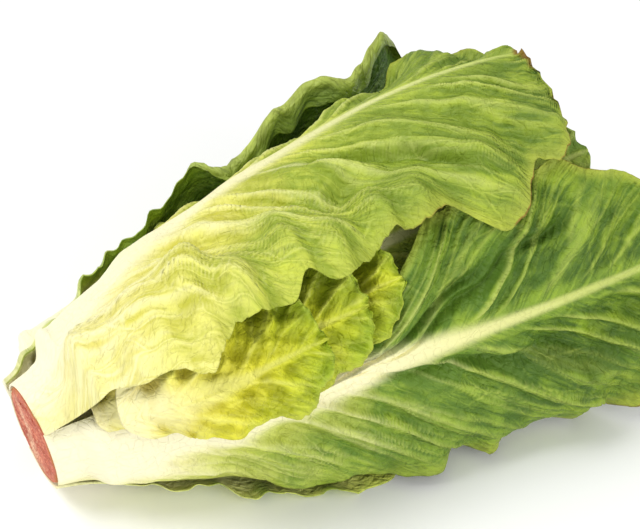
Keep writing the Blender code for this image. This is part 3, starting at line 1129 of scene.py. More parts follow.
@dataclass(frozen=True)
class LeafFinish:
    """A leaf's colours from base to tip, with its veins, painted shade in its folds and its waxy gloss.
    """

    outside: tuple
    inside: tuple
    rib: tuple
    vein: tuple
    # The fold ramp is painted shade: a darker colour laid in the hollows, creases and rib flanks. Its
    # share sets how strong it is.
    fold_shade: tuple
    margin: Colour = from_hex("b9bf4c")
    sheen: Colour = (1.0, 0.98, 0.55)
    rib_streak: Colour = (0.72, 0.76, 0.36)
    brown: Colour = from_hex("8a5a2a")
    fold_shade_share: float = 0.8
    vein_share: float = 0.6
    rib_share: float = 1.0
    roughness: float = 0.4
    browned: float = 0.0
    wrinkle_depth: float = 1.6 * MM
    wrinkle_share: float = 0.85
    index: float = 1.4
    gloss: float = 0.34

    def material(self, name: str) -> bpy.types.Material:
        """Makes the material.

        Args:
            name: Its name.

        Returns:
            The material.
        """
        g = Graph(name)
        place = g.node("ShaderNodeUVMap", {"uv_map": "leaf"}, {}).outputs[0]
        point = g.node("ShaderNodeTexCoord", {}, {}).outputs["Object"]
        tissue = g.node("ShaderNodeAttribute", {"attribute_name": "tissue"}, {})
        shape = g.node("ShaderNodeAttribute", {"attribute_name": "shape"}, {})
        rib, along, edge = g.parts(tissue.outputs["Color"])
        outer = Number(g, tissue.outputs["Alpha"])
        relief, vein, flank_shade = g.parts(shape.outputs["Color"])
        length, across, _ = g.parts(place)
        bent = g.node("ShaderNodeTexNoise", {}, {"Vector": place, "Scale": 1.3, "Detail": 3.0})
        warped = g.vector("MULTIPLY_ADD", bent.outputs["Color"], (0.7, 0.7, 0.0), place)

        cloud = g.noise(point, 26.0)
        mottle = g.noise(point, 85.0, 5.0)
        grain = g.noise(point, 330.0, 4.0)
        swept = g.node("ShaderNodeCombineXYZ", {}, {
            0: length - across.size() * 1.05, 1: across * 0.22, 2: mottle * 0.5}).outputs[0]
        combed = g.noise(swept, 3.4, 4.0)
        ripe = along + (cloud - 0.5) * 0.34 + (edge - 0.5) * 0.22 + (mottle - 0.5) * 0.16
        blade = g.blend(g.ramp(ripe, self.inside), g.ramp(ripe, self.outside), outer)
        # Painted shade: low places in the relief, the combed creases, dark mottle and the flanks of the
        # side ribs are darkened towards the fold shade ramp.
        hollow = 1 - relief.rise(0.18, 0.62)
        grown = along.rise(0.15, 0.6) * 0.6 + 0.4
        crease_shade = (1 - combed.rise(0.34, 0.52)) * 0.55 * grown + (1 - mottle.rise(0.32, 0.5)) * 0.4
        hollow = (hollow * 0.8 + crease_shade + flank_shade * (0.55 + combed * 0.9)).rise(0.05, 1.25)
        blade = g.blend(blade, g.ramp(ripe, self.fold_shade), hollow * self.fold_shade_share)
        bright = (mottle * 0.5 + combed * 0.5).rise(0.48, 0.7) * 0.5
        blade = g.blend(blade, self.sheen, bright, "SOFT_LIGHT")

        leaned = g.node("ShaderNodeCombineXYZ", {}, {
            0: length - across.size() * 0.9 + mottle * 0.5, 1: across * 0.5 + cloud * 0.6,
            2: 0.0}).outputs[0]
        cells = g.cracks(leaned, 0.9)
        big_net = 1 - cells.rise(0.004, 0.03)
        net = 1 - g.cracks(warped, 2.7).rise(0.01, 0.11)
        # Painted shadow: a dark band along each side of the large vein net.
        vein_shadow = cells.rise(0.01, 0.04) * (1 - cells.rise(0.05, 0.12)) * 0.4
        blade = g.blend(blade, g.ramp(ripe, self.fold_shade), vein_shadow * self.fold_shade_share)
        netted = big_net * 0.24 * mottle.rise(0.35, 0.6) + net * 0.1 * grain.rise(0.3, 0.6)
        lines = vein * 1.15 + netted
        blade = g.blend(blade, g.ramp(ripe, self.vein), lines.rise(0.0, 1.1) * self.vein_share)
        pale = (rib * (1.3 - along * 0.55)).rise(0.3, 0.95) * self.rib_share
        streak = g.noise(g.vector("MULTIPLY", place, (0.2, 4.5, 1.0)), 2.6, 4.0)
        ribbed = g.blend(
            g.ramp(along, self.rib), self.rib_streak, (streak - 0.48).rise(0.0, 0.4) * 0.4)
        rim = edge.rise(0.86, 1.0) * along.rise(0.3, 0.7) * 0.5
        body = g.blend(g.blend(blade, self.margin, rim), ribbed, pale)
        if self.browned:
            burnt = edge.rise(0.982, 1.0) + along.rise(0.986, 1.0)
            patch = (cloud - 0.44).rise(0.0, 0.1) * along.rise(0.5, 0.85)
            body = g.blend(body, self.brown, (burnt * patch).rise(0.1, 1.0) * self.browned)

        cell = g.node("ShaderNodeTexVoronoi", {"feature": "SMOOTH_F1"}, {
            "Vector": warped, "Scale": 3.4, "Smoothness": 0.35})
        dome = Number(g, cell.outputs[0])
        tender = 1 - pale * 0.85
        height = (dome * -0.8 + combed * grown * 1.1 + mottle * 0.5) * tender
        height = height + net * -0.12 + grain * 0.25
        rough = self.roughness + grain * 0.2 - pale * 0.05
        return g.surface({
            "Base Color": body, "Roughness": rough, "IOR": self.index,
            "Specular IOR Level": self.gloss,
            "Normal": g.bump(height, self.wrinkle_depth, self.wrinkle_share)})


@dataclass(frozen=True)
class CutFinish:
    """The stump's cut face: reddish brown and streaked, with a worn orange rim."""

    face: Colour = from_hex("da7d62")
    dark: Colour = from_hex("ad4c38")
    pale: Colour = from_hex("f7d3ae")
    rim: Colour = from_hex("c07433")
    core: Colour = from_hex("efe9c8")
    edge_radius: float = 22.4 * MM
    side_start: float = 1.6 * MM
    side_full: float = 2.6 * MM
    pit_depth: float = 1.2 * MM

    def material(self, space: HeadSpace, shift: tuple) -> bpy.types.Material:
        """Makes the material.

        Args:
            space: The head's axis.
            shift: How far the head was moved to rest on the surface.

        Returns:
            The material.
        """
        g = Graph("browned_cut")
        point = g.node("ShaderNodeTexCoord", {}, {}).outputs["Object"]
        centre = Vector(space.cut_centre) - Vector(shift)
        turned = g.node("ShaderNodeMapping", {"vector_type": "TEXTURE"}, {
            "Vector": point, "Location": centre, "Rotation": (0.0, -space.tilt, 0.0)}).outputs[0]
        along, side, up = g.parts(turned)
        radius = ((side * side + up * up) ** 0.5) * (1 / self.edge_radius)
        cloud = g.noise(point, 60.0, 5.0)
        grain = g.noise(point, 850.0, 3.0)
        streaks = g.noise(g.vector("MULTIPLY", turned, (1.0, 0.35, 1.6)), 150.0, 5.0)
        body = g.blend(self.face, self.dark, (streaks - 0.42).rise(0.0, 0.25) * 0.8)
        body = g.blend(body, self.pale, (cloud - 0.5).rise(0.0, 0.2) * 0.75)
        body = g.blend(body, self.dark, (1 - grain.rise(0.4, 0.52)) * 0.6)
        body = g.blend(body, self.pale, grain.rise(0.56, 0.66) * 0.4)
        ring = (radius - 0.74).size()
        body = g.blend(body, self.dark, (1 - ring.rise(0.0, 0.09)) * 0.35)
        worn = (radius + (cloud - 0.5) * 0.5 + (grain - 0.5) * 0.3).rise(0.86, 0.98)
        body = g.blend(body, self.rim, worn)
        body = g.blend(body, self.core, along.rise(self.side_start, self.side_full))
        height = grain * 0.6 + streaks * 0.8
        return g.surface({
            "Base Color": body, "Roughness": 0.5 + grain * 0.3, "IOR": 1.38,
            "Specular IOR Level": 0.35, "Subsurface Weight": 0.08,
            "Subsurface Radius": (1.0, 0.4, 0.2), "Subsurface Scale": 0.002,
            "Normal": g.bump(height, self.pit_depth, 0.9)})


@dataclass(frozen=True)
class Stump:
    """The cut stump and the core it becomes, turned about the head's axis."""

    space: HeadSpace
    shift: tuple
    sides: int = 160
    lobes: int = 5
    lobe_depth: float = 0.03
    rings: int = 26
    seed: int = 5
    wobbles: tuple = ((2, 0.010), (3, 0.012), (7, 0.006), (11, 0.005), (19, 0.003))
    saw_marks: tuple = ((1.3, 2, 0.14), (2.4, 5, 0.10), (0.7, 3, 0.16), (4.1, 9, 0.06))
    worn_side: tuple = ((0.75, 1.018), (1.3, 1.028), (2.0, 1.03), (2.38, 1.02))
    core_stations: tuple = (2.5, 6, 10, 20, 30, 40, 50, 60, 68, 72)
    face_depth: float = 0.55
    core_end: float = 73.0
    vessel_count: int = 34
    vessel_ring: float = 15.6 * MM
    vessel_radius: float = 0.62 * MM
    vessel_scatter: float = 1.5 * MM
    vessel_sizes: tuple = (0.6, 1.25)
    vessel_flatness: float = 0.55
    vessel_depth: float = 0.42 * MM

    def build(self) -> bpy.types.Object:
        """Builds the stump with its rough cut face.

        Returns:
            The new object, in the scene.
        """
        draw = random.Random(self.seed)
        psi = np.linspace(0, TURN, self.sides, endpoint=False)[None, :]
        wobble = sum(
            share * np.sin(k * psi + draw.uniform(0, TURN))
            for k, share in self.wobbles)
        lobe = 1 - self.lobe_depth * (0.5 + 0.5 * np.cos(self.lobes * psi)) + wobble - 0.01
        share = np.linspace(0.03, 1.0, self.rings)[:, None]
        radius = FACE_RADIUS * share * lobe
        rough = sum(
            np.sin(radius / MM * a + b * psi + draw.uniform(0, TURN)) * c
            for a, b, c in self.saw_marks)
        depth = self.face_depth - 0.25 * share + rough * (1 - share**6) + 0.5 * share**14
        worn_t, worn_r = np.array(self.worn_side).T[:, :, None]
        side_t = worn_t * MM + 0 * psi
        side_r = FACE_RADIUS * worn_r * lobe
        core_t = np.array(self.core_stations)[:, None] * MM + 0 * psi
        core_r = self.space.core(core_t) * lobe
        t = np.concatenate([depth * MM, side_t, core_t])
        r = np.concatenate([radius, side_r, core_r])
        rings = self.space.place(t, psi + 0 * t, r) - np.array(self.shift)
        count = len(rings)
        ends = [
            self.space.place(at * MM, 0.0, 0.0) - np.array(self.shift)
            for at in (self.face_depth, self.core_end)]
        points = np.concatenate([rings.reshape(-1, 3), np.array(ends)])
        index = np.arange(count * self.sides).reshape(count, self.sides)
        after = np.roll(index, -1, axis=1)
        quads = np.stack(
            [after[:-1].ravel(), index[:-1].ravel(), index[1:].ravel(), after[1:].ravel()], axis=1)
        first, last = count * self.sides, count * self.sides + 1
        caps = [(int(a), int(b), first) for a, b in zip(index[0], after[0])]
        caps += [(int(b), int(a), last) for a, b in zip(index[-1], after[-1])]
        mesh = bpy.data.meshes.new("cut_stump")
        mesh.from_pydata(points.tolist(), [], [*map(tuple, quads.tolist()), *caps])
        mesh.shade_smooth()
        obj = bpy.data.objects.new("cut_stump", mesh)
        bpy.context.scene.collection.objects.link(obj)
        return obj

    def vessel_nodes(self, material: bpy.types.Material) -> tuple:
        """Makes the Geometry Nodes that set vessel ends round a ring.

        Args:
            material: Their finish.

        Returns:
            The node tree, and the values of its inputs by socket identifier.
        """
        tree = bpy.data.node_groups.new("vessel_ring", "GeometryNodeTree")
        tree.interface.new_socket("Geometry", in_out="OUTPUT", socket_type="NodeSocketGeometry")
        sizes = {
            "Ring Radius": self.vessel_ring, "Vessel Radius": self.vessel_radius,
            "Scatter": self.vessel_scatter}
        sockets = {}
        for name, value in sizes.items():
            socket = tree.interface.new_socket(name, in_out="INPUT", socket_type="NodeSocketFloat")
            sockets[socket.identifier] = value
        number = tree.interface.new_socket("Count", in_out="INPUT", socket_type="NodeSocketInt")
        sockets[number.identifier] = self.vessel_count

        def add(kind: str, settings: dict, inputs: dict) -> bpy.types.Node:
            """Adds a node with its settings and its inputs.

            Args:
                kind: The node's type.
                settings: Its settings by name.
                inputs: Its inputs by name or number, each a value or a socket.

            Returns:
                The node.
            """
            node = tree.nodes.new(kind)
            for key, value in settings.items():
                setattr(node, key, value)
            for key, value in inputs.items():
                if isinstance(value, bpy.types.NodeSocket):
                    tree.links.new(value, node.inputs[key])
                else:
                    node.inputs[key].default_value = value
            return node

        least, most = self.vessel_sizes
        given = add("NodeGroupInput", {}, {}).outputs
        circle = add("GeometryNodeMeshCircle", {}, {
            "Vertices": given["Count"], "Radius": given["Ring Radius"]})
        offset = add("FunctionNodeRandomValue", {"data_type": "FLOAT_VECTOR"}, {
            0: (-1.0, -1.0, 0.0), 1: (1.0, 1.0, 0.0), "Seed": 4})
        scatter = add("ShaderNodeVectorMath", {"operation": "SCALE"}, {
            0: offset.outputs[0], "Scale": given["Scatter"]})
        moved = add("GeometryNodeSetPosition", {}, {
            "Geometry": circle.outputs[0], "Offset": scatter.outputs[0]})
        ball = add("GeometryNodeMeshIcoSphere", {}, {
            "Radius": given["Vessel Radius"], "Subdivisions": 2})
        size = add("FunctionNodeRandomValue", {"data_type": "FLOAT"}, {2: least, 3: most, "Seed": 9})
        flat = add("ShaderNodeCombineXYZ", {}, {
            0: size.outputs[1], 1: size.outputs[1], 2: self.vessel_flatness})
        placed = add("GeometryNodeInstanceOnPoints", {}, {
            "Points": moved.outputs[0], "Instance": ball.outputs[0], "Scale": flat.outputs[0]})
        real = add("GeometryNodeRealizeInstances", {}, {0: placed.outputs[0]})
        dressed = add("GeometryNodeSetMaterial", {}, {
            "Geometry": real.outputs[0], "Material": material})
        add("NodeGroupOutput", {}, {0: dressed.outputs[0]})
        return tree, sockets

    def vessels(self, material: bpy.types.Material) -> bpy.types.Object:
        """Makes the ring of vessel ends that stand in the cut face.

        Args:
            material: Their finish.

        Returns:
            The new object, in the scene.
        """
        tree, sockets = self.vessel_nodes(material)
        base = bpy.data.objects.new("vessel_base", bpy.data.meshes.new("vessel_base"))
        bpy.context.scene.collection.objects.link(base)
        modifier = base.modifiers.new("ring", "NODES")
        modifier.node_group = tree
        for identifier, value in sockets.items():
            modifier[identifier] = value
        graph = bpy.context.evaluated_depsgraph_get()
        mesh = bpy.data.meshes.new_from_object(base.evaluated_get(graph), depsgraph=graph)
        bpy.data.objects.remove(base)
        centre = self.space.place(self.vessel_depth, 0.0, 0.0) - np.array(self.shift)
        flat_points = np.empty(len(mesh.vertices) * 3, dtype=np.float32)
        mesh.vertices.foreach_get("co", flat_points)
        x, y, z = flat_points.reshape(-1, 3).astype(float).T
        along, side, up = self.space.axes()
        points = centre - z[:, None] * along + y[:, None] * up - x[:, None] * side
        mesh.vertices.foreach_set("co", points.astype(np.float32).ravel())
        mesh.update()
        mesh.name = "vessel_ends"
        obj = bpy.data.objects.new("vessel_ends", mesh)
        bpy.context.scene.collection.objects.link(obj)
        return obj


@dataclass(frozen=True)
class SoftBox:
    """One soft square light that faces the head; its power is in watts."""

    name: str
    where: tuple
    size: float
    power: float

    def hang(self, aim: tuple) -> None:
        """Hangs the light.

        Args:
            aim: The place that it faces.
        """
        data = bpy.data.lights.new(self.name, "AREA")
        data.shape = "SQUARE"
        data.size = self.size
        data.energy = self.power
        obj = bpy.data.objects.new(self.name, data)
        obj.location = self.where
        obj.rotation_mode = "QUATERNION"
        obj.rotation_quaternion = (Vector(aim) - Vector(self.where)).to_track_quat("-Z", "Y")
        bpy.context.scene.collection.objects.link(obj)


@dataclass(frozen=True)
class Studio:
    """The pale floor, the soft lights and the camera."""

    boxes: tuple = (
        SoftBox("key_light", (-0.9, 0.35, 1.5), 0.9, 17.0),
        SoftBox("fill_light", (0.3, -1.5, 0.6), 1.2, 11.0))
    aim: tuple = (0.0, 0.0, 0.05)
    room_light: float = 0.66
    floor_reach: float = 3.0
    floor_gap: float = 0.2 * MM
    azimuth: float = math.radians(-28.0)
    elevation: float = math.radians(40.0)
    distance: float = 1.1
    lens: float = 150.0
    cut_right: float = 118.7 * MM
    cut_up: float = 71.2 * MM

    def floor(self) -> bpy.types.Object:
        """Lays the floor under the head.

        Returns:
            The new floor, in the scene.
        """
        g = Graph("pale_floor")
        cloud = g.noise(g.node("ShaderNodeTexCoord", {}, {}).outputs["Object"], 3.0)
        paper = g.blend((0.94, 0.94, 0.94), (0.955, 0.955, 0.955), cloud)
        material = g.surface({"Base Color": paper, "Roughness": 0.7, "Specular IOR Level": 0.1})
        mesh = bpy.data.meshes.new("floor")
        corners = ((-1, -1), (1, -1), (1, 1), (-1, 1))
        mesh.from_pydata(
            [(x * self.floor_reach, y * self.floor_reach, -self.floor_gap) for x, y in corners],
            [], [(0, 1, 2, 3)])
        mesh.materials.append(material)
        obj = bpy.data.objects.new("floor", mesh)
        bpy.context.scene.collection.objects.link(obj)
        return obj

    def sky(self) -> None:
        """Fills the room with even white light."""
        world = bpy.data.worlds.new("studio")
        world.use_nodes = True
        shade = world.node_tree.nodes["Background"]
        shade.inputs[0].default_value = (1.0, 1.0, 1.0, 1.0)
        shade.inputs[1].default_value = self.room_light
        bpy.context.scene.world = world
        bpy.context.scene.view_settings.view_transform = "Standard"

    def camera(self, cut: Vector) -> None:
        """Sets the camera.

        Args:
            cut: The middle of the stump's cut face.
        """
        back = Vector((
            math.sin(self.azimuth) * math.cos(self.elevation),
            -math.cos(self.azimuth) * math.cos(self.elevation), math.sin(self.elevation)))
        right = Vector((math.cos(self.azimuth), math.sin(self.azimuth), 0.0))
        up = back.cross(right)
        target = cut + right * self.cut_right + up * self.cut_up
        data = bpy.data.cameras.new("camera")
        data.lens = self.lens
        data.clip_start = 0.01
        obj = bpy.data.objects.new("camera", data)
        obj.location = target + back * self.distance
        obj.rotation_mode = "QUATERNION"
        obj.rotation_quaternion = (-back).to_track_quat("-Z", "Y")
        bpy.context.scene.collection.objects.link(obj)
        bpy.context.scene.camera = obj

    def build(self, cut: Vector) -> None:
        """Builds the whole studio round the head.

        Args:
            cut: The middle of the cut face.
        """
        self.floor()
        self.sky()
        for box in self.boxes:
            box.hang(self.aim)
        self.camera(cut)


CREAM = "fbf4cb"
STRAW = "f0eb9c"
YELLOW_GREEN = "dade62"
SPRING = "b9c84b"
LEAF = "9db546"
GRASS = "84a23a"
MOSS = "5f8230"
DEEP = "47692a"
SHADE = "2c4c1a"
PALE_RIB = stops(0.0, "fbf5d2", 0.5, "f3edb4", 0.8, "d9de8c", 1.0, "bccb66")

FINISHES = {
    Tissue.BUD: LeafFinish(
        outside=stops(0.0, CREAM, 0.5, STRAW, 1.0, YELLOW_GREEN),
        inside=stops(0.0, CREAM, 0.5, STRAW, 1.0, YELLOW_GREEN), rib=PALE_RIB,
        vein=stops(0.0, CREAM, 1.0, STRAW), fold_shade=stops(0.0, STRAW, 1.0, "c9cc4c")),
    Tissue.HEART: LeafFinish(
        outside=stops(0.0, "f6eeb0", 0.25, "eae366", 0.55, "ddd838", 0.85, "c4ce33", 1.0, "a6bc31"),
        inside=stops(0.0, CREAM, 0.5, STRAW, 1.0, YELLOW_GREEN), rib=stops(0.0, "f7f0ba", 1.0, "e6e673"),
        vein=stops(0.0, "f6efb4", 0.5, "ecea7e", 1.0, "d3dd66"),
        fold_shade=stops(0.0, "e6d46a", 0.4, "bcb422", 1.0, "839a22"), fold_shade_share=0.8, vein_share=0.5,
        rib_share=0.35, roughness=0.33),
    Tissue.INNER: LeafFinish(
        outside=stops(0.0, CREAM, 0.4, STRAW, 0.75, YELLOW_GREEN, 1.0, SPRING),
        inside=stops(0.0, CREAM, 0.4, YELLOW_GREEN, 1.0, SPRING), rib=PALE_RIB,
        vein=stops(0.0, CREAM, 1.0, "e2e79a"), fold_shade=stops(0.0, STRAW, 0.5, SPRING, 1.0, GRASS)),
    Tissue.MIDDLE: LeafFinish(
        outside=stops(0.0, CREAM, 0.3, YELLOW_GREEN, 0.6, SPRING, 1.0, LEAF),
        inside=stops(0.0, STRAW, 0.3, SPRING, 0.65, LEAF, 1.0, GRASS), rib=PALE_RIB,
        vein=stops(0.0, CREAM, 0.5, "dce394", 1.0, "c3d070"),
        fold_shade=stops(0.0, STRAW, 0.3, LEAF, 1.0, MOSS)),
    Tissue.OUTER: LeafFinish(
        outside=stops(
            0.0, CREAM, 0.2, "f5efa8", 0.36, "e8e478", 0.52, "c1cb4e", 0.72, "9eb23e", 1.0, "92a538"),
        inside=stops(0.0, STRAW, 0.3, SPRING, 0.6, GRASS, 1.0, DEEP), rib=PALE_RIB,
        vein=stops(0.0, CREAM, 0.4, "f1efb0", 0.7, "d2da80", 1.0, "bfca66"),
        fold_shade=stops(0.0, "f0e48c", 0.25, "cfc83f", 0.5, "8a9f2b", 1.0, "527022"), fold_shade_share=0.9,
        browned=0.8),
    Tissue.NEAR: LeafFinish(
        outside=stops(
            0.0, CREAM, 0.14, "f3eeb2", 0.3, "d3da70", 0.45, "95ad3d", 0.7, "7c9930", 1.0, "8ba231"),
        inside=stops(0.0, STRAW, 0.3, SPRING, 0.6, GRASS, 1.0, DEEP),
        rib=stops(0.0, "fbf5d2", 0.45, "faf3c6", 0.62, "e9e6a0", 0.8, "c9d074", 1.0, "b0bf56"),
        vein=stops(0.0, CREAM, 0.3, "eeecb0", 0.6, "c5d06a", 1.0, "aabb4e"),
        fold_shade=stops(0.0, "ebe58c", 0.25, "bcc54c", 0.45, "567b24", 0.8, "325418", 1.0, "507320"),
        fold_shade_share=0.82, vein_share=0.6, browned=0.5),
    # The under leaf's colours are painted lighter than its own tissue, to make up for the shade it lies
    # in.
    Tissue.UNDER: LeafFinish(
        outside=stops(0.0, CREAM, 0.25, "eef2a0", 0.5, "dce96c", 1.0, "bad256"),
        inside=stops(0.0, CREAM, 0.3, "f0f09a", 0.6, "dde866", 1.0, "c0d54e"), rib=PALE_RIB,
        vein=stops(0.0, CREAM, 1.0, "cad678"), fold_shade=stops(0.0, STRAW, 0.4, "84a038", 1.0, "56762c")),
    Tissue.DEEP: LeafFinish(
        outside=stops(0.0, CREAM, 0.2, "e3e794", 0.45, "b3c566", 1.0, "9ab35a"),
        inside=stops(0.0, "dde08a", 0.25, LEAF, 0.5, GRASS, 1.0, MOSS), rib=PALE_RIB,
        vein=stops(0.0, CREAM, 0.4, "c3cf7c", 1.0, "9db45c"),
        fold_shade=stops(0.0, SPRING, 0.3, MOSS, 0.6, SHADE, 1.0, "24431a"), fold_shade_share=0.7, vein_share=0.7,
        roughness=0.3),
}

LEAVES = (
    LeafPlan(
        "bud_leaf_1", roll=20, start=44, tip=150, layer=0.14, right=(95,), left=(95,), tissue=Tissue.BUD,
        rows=10, columns=8, tip_lift=-5, ruffle=1.5, wave=36, rib=1.4, rib_width=6, seed=11,
        fine_rows=60, fine_columns=44),
    LeafPlan(
        "bud_leaf_2", roll=160, start=40, tip=164, layer=0.22, right=(90,), left=(90,),
        tissue=Tissue.BUD, rows=11, columns=8, tip_lift=-7, ruffle=2, wave=38, rib=1.4, rib_width=7,
        seed=12, fine_rows=60, fine_columns=44),
    LeafPlan(
        "bud_leaf_3", roll=-100, start=36, tip=178, layer=0.30, right=(84,), left=(84,),
        tissue=Tissue.BUD, rows=12, columns=8, tip_lift=-9, ruffle=2, wave=40, rib=1.6, rib_width=8,
        seed=13, fine_rows=64, fine_columns=46),
    LeafPlan(
        "inner_leaf_1", roll=62, start=38, tip=196, layer=0.38, right=(78, 76, 72), left=(78, 76, 72),
        tissue=Tissue.INNER, rows=16, columns=8, tip_lift=-11, ruffle=3, wave=46, rib=1.8, rib_width=9,
        seed=21, fine_rows=80, fine_columns=54),
    LeafPlan(
        "inner_leaf_2", roll=-160, start=36, tip=208, layer=0.45, right=(76, 74, 70), left=(76, 74, 70),
        tissue=Tissue.INNER, rows=16, columns=8, tip_lift=-12, ruffle=3, wave=46, rib=2.0, rib_width=9,
        seed=22, fine_rows=80, fine_columns=54),
    LeafPlan(
        "inner_leaf_3", roll=-15, start=33, tip=222, layer=0.52, right=(74, 72, 66), left=(74, 72, 66),
        tissue=Tissue.INNER, rows=18, columns=8, tip_lift=-12, ruffle=3.5, rib=2.2, rib_width=10,
        seed=23, fine_rows=90, fine_columns=58),
    LeafPlan(
        "inner_leaf_4", roll=125, start=30, tip=230, layer=0.58, right=(70, 68, 62), left=(70, 68, 62),
        tissue=Tissue.INNER, rows=18, columns=8, tip_lift=-12, ruffle=3.5, rib=2.2, rib_width=10,
        seed=24, fine_rows=90, fine_columns=58),
    LeafPlan(
        "middle_leaf_1", roll=-135, start=27, tip=248, layer=0.65, right=(64, 62, 58), left=(64, 62, 58),
        tissue=Tissue.MIDDLE, rows=20, columns=8, tip_lift=-8, off_floor=12, ruffle=4, rib=2.4,
        rib_width=11, seed=31, fine_rows=112, fine_columns=68),
    LeafPlan(
        "middle_leaf_2", roll=-30, start=24, tip=254, layer=0.74, right=(60, 52, 56), left=(60, 58, 56),
        tissue=Tissue.MIDDLE, rows=22, columns=10, tip_lift=-3, ruffle=4, rib=2.6, rib_width=11, seed=32,
        fine_rows=150, fine_columns=90),
    LeafPlan(
        "middle_leaf_3", roll=82, start=27, tip=244, layer=0.80, right=(60, 58, 54), left=(60, 58, 54),
        tissue=Tissue.MIDDLE, rows=20, columns=8, tip_lift=-6, off_floor=12, ruffle=4, rib=2.8,
        rib_width=12, seed=33, fine_rows=112, fine_columns=68),
    LeafPlan(
        "middle_leaf_4", roll=150, start=24, tip=246, layer=0.82, right=(58, 56, 54), left=(58, 56, 54),
        tissue=Tissue.MIDDLE, rows=20, columns=8, tip_lift=-6, off_floor=7, ruffle=4, rib=2.8,
        rib_width=12, seed=34, fine_rows=112, fine_columns=68),
    LeafPlan(
        "near_leaf", roll=-75, start=LEAF_BASE, tip=270, layer=0.95, right=(46, 52, 45, 44, 49, 52, 50),
        left=(28, 27, 16, 14, 14, 20, 38, 50, 45, 40, 40), tissue=Tissue.NEAR, rows=30, columns=12,
        rounding=0.8, flare_right=25, off_floor=4.5, tip_lift=2, ruffle=3, wave=54, pleat=2.6, rib=6.0,
        rib_width=19,
        folds=((9, -0.32, 0.12, 0.82, 0.16), (-5, -0.6, 0.16, 0.80, 0.16), (3, 0.45, 0.12, 0.6, 0.2)),
        seed=41, fine_rows=268, fine_columns=178, crinkle=1.7, blister=1.5, frill=0.6, calm_tip=0.8,
        creases=(
            (-0.05, -0.62, 0.44, 0.93, 0.055), (0.12, 0.5, 0.4, 0.72, 0.04),
            (0.1, 0.62, 0.52, 0.86, 0.045))),
    LeafPlan(
        "heart_leaf_1", roll=-46, start=40, tip=152, layer=0.78, right=(16, 16, 18, 18, 16),
        left=(30, 30, 32, 30, 24), tissue=Tissue.HEART, rows=16, columns=10, ruffle=3, wave=32,
        pleat=2.2, rib=1.5, rib_width=6, seed=51, fine_rows=124, fine_columns=84, crinkle=1.0,
        blister=2.2, crumple=1.3, base_round=14),
    LeafPlan(
        "heart_leaf_2", roll=-50, start=32, tip=134, layer=0.82, right=(14, 15, 18, 20, 18),
        left=(30, 30, 32, 28, 22), tissue=Tissue.HEART, rows=16, columns=10, ruffle=3.5, wave=30,
        pleat=2.4, rib=1.5, rib_width=6, seed=52, fine_rows=124, fine_columns=84, crinkle=1.0,
        blister=2.2, crumple=1.3, base_round=14),
    LeafPlan(
        "heart_leaf_3", roll=-52, start=20, tip=72, layer=0.84, right=(8, 10, 12, 14, 12),
        left=(24, 26, 26, 22, 20), tissue=Tissue.HEART, rows=12, columns=8, ruffle=2, wave=28, rib=1.5,
        rib_width=6, seed=53, fine_rows=70, fine_columns=56, crinkle=0.8, blister=1.4, crumple=0.5,
        base_round=3),
    LeafPlan(
        "heart_leaf_4", roll=-54, start=26, tip=112, layer=0.86, right=(12, 13, 16, 18, 15),
        left=(26, 28, 26, 24, 20), tissue=Tissue.HEART, rows=16, columns=10, ruffle=3.5, wave=28,
        pleat=2.4, rib=1.5, rib_width=6, seed=54, fine_rows=124, fine_columns=84, crinkle=1.0,
        blister=2.2, crumple=1.4, base_round=12),
    LeafPlan(
        "top_leaf", roll=36, start=LEAF_BASE, tip=247, layer=1.0,
        right=(84, 76, 82, 77, 71, 70, 66, 57, 68, 52, 56), left=(32, 46, 58, 62, 58, 36, 10),
        tissue=Tissue.OUTER, rows=34, columns=14, drift=-28, rounding=0.84, ruffle=4.5, wave=58,
        pleat=2.6, rib=6.5, rib_width=22,
        folds=((8, -0.62, 0.12, 0.64, 0.10), (4, -0.5, 0.10, 0.45, 0.12)), seed=61, fine_rows=268,
        fine_columns=182, crinkle=1.25, blister=1.4, frill=0.8,
        creases=((-0.12, -0.8, 0.5, 0.86, 0.035),)),
    LeafPlan(
        "far_leaf", roll=104, start=LEAF_BASE, tip=236, layer=1.02, right=(35, 23, 25, 36, 46, 52, 50),
        left=(28, 33, 38, 42, 40), tissue=Tissue.DEEP, rows=28, columns=12, rounding=0.86,
        flare_span=(0.45, 0.75), flare_right=20, flare_left=8, off_floor=4, ruffle=3, pleat=2.2, rib=4.5,
        rib_width=18, folds=((6, -1.0, 0.12, 0.80, 0.14),), seed=63, fine_rows=214, fine_columns=116,
        crinkle=1.2, flap=17),
    LeafPlan(
        "under_leaf", roll=180, start=LEAF_BASE, tip=232, layer=1.07, right=(36, 46, 48, 50, 46),
        left=(44, 52, 58, 57, 46, 42, 38), tissue=Tissue.UNDER, rows=28, columns=12, flare_left=14,
        off_floor=-3.2, ruffle=4, wave=40, rib=3.4, rib_width=18, seed=62, fine_rows=180,
        fine_columns=104, frill=1.5),
)


def report(piece: bpy.types.Object) -> None:
    """Logs a piece's name and size."""
    LOG.info("%s: %d faces", piece.name, len(piece.data.polygons))


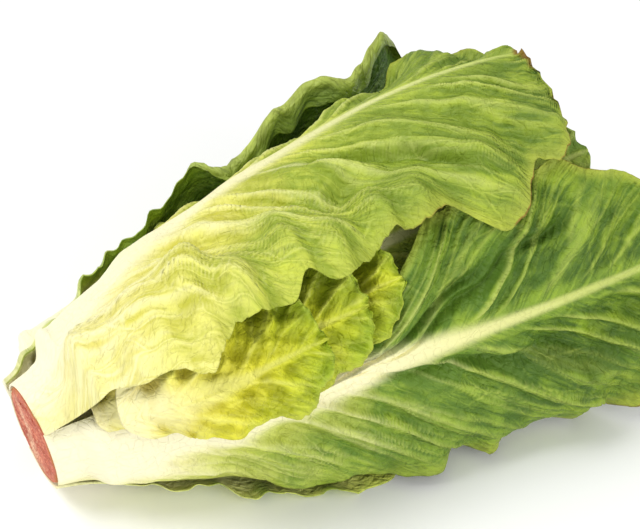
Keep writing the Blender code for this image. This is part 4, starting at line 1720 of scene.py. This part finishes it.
@dataclass(frozen=True)
class Head:
    """The whole head: its leaves in the order in which they are laid."""

    space: HeadSpace
    plans: tuple
    pressed: float = 3.2 * MM
    coarse_gap: float = 0.6 * MM
    coarse_step: float = 2.0 * MM
    fine_gap: float = 0.3 * MM
    fine_step: float = 1.0 * MM
    lift: float = 0.7 * MM
    face_low: float = 21.3 * MM

    def build(self) -> tuple:
        """Builds the leaves, and replaces the plain leaf solids with them.

        Returns:
            How far the head was moved to rest on the surface.
        """
        shapers = [LeafShaper(plan, self.space) for plan in self.plans]
        coarse = Pile(self.space, self.coarse_gap, self.coarse_step)
        plain = [shaper.lay(shaper.plain(), coarse) for shaper in shapers]
        shift = self.settled(shapers, plain)
        fine = Pile(self.space, self.fine_gap, self.fine_step)
        mesher = SheetMesher(self.space, shift)
        lowest = self.plans[-1].name
        for shaper, sheet in zip(shapers, plain):
            plan = shaper.plan
            floor = 0.0 if plan.name == lowest else self.lift
            obj = mesher.build("crinkled_" + plan.name, shaper.crinkled(sheet, fine), floor)
            obj.data.materials.append(FINISHES[plan.tissue].material(plan.name + "_finish"))
            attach(obj, "root")
            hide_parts(plan.name)
            report(obj)
        return shift

    def settled(self, shapers: list, plain: list) -> tuple:
        """Works out how far the plain head moves to lie on the surface about the origin.

        Args:
            shapers: The leaves' shapers.
            plain: The plain leaves in their places.

        Returns:
            The shift, to be taken from every point.
        """
        low, high = zip(*(shaper.extent(sheet) for shaper, sheet in zip(shapers, plain)))
        low, high = np.min(low, axis=0), np.max(high, axis=0)
        cut_low = self.space.place(np.zeros(1), np.zeros(1), np.full(1, self.face_low))[0, 0]
        low[0] = min(low[0], cut_low)
        middle = (low + high) / 2
        return middle[0], middle[1], low[2] + self.pressed


def main() -> None:
    """Builds the head in the studio."""
    logging.basicConfig(level=logging.INFO, format="%(message)s")
    space = HeadSpace()
    head = Head(space, LEAVES)
    shift = head.build()
    stump = Stump(space, shift)
    finish = CutFinish().material(space, shift)
    cut = stump.build()
    cut.data.materials.append(finish)
    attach(cut, "root")
    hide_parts("stump")
    report(cut)
    vessels = stump.vessels(finish)
    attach(vessels, "root")
    report(vessels)
    centre = space.place(np.zeros(1), np.zeros(1), np.zeros(1))[0] - np.array(shift)
    Studio().build(Vector(centre))


if __name__ == "__main__":
    main()
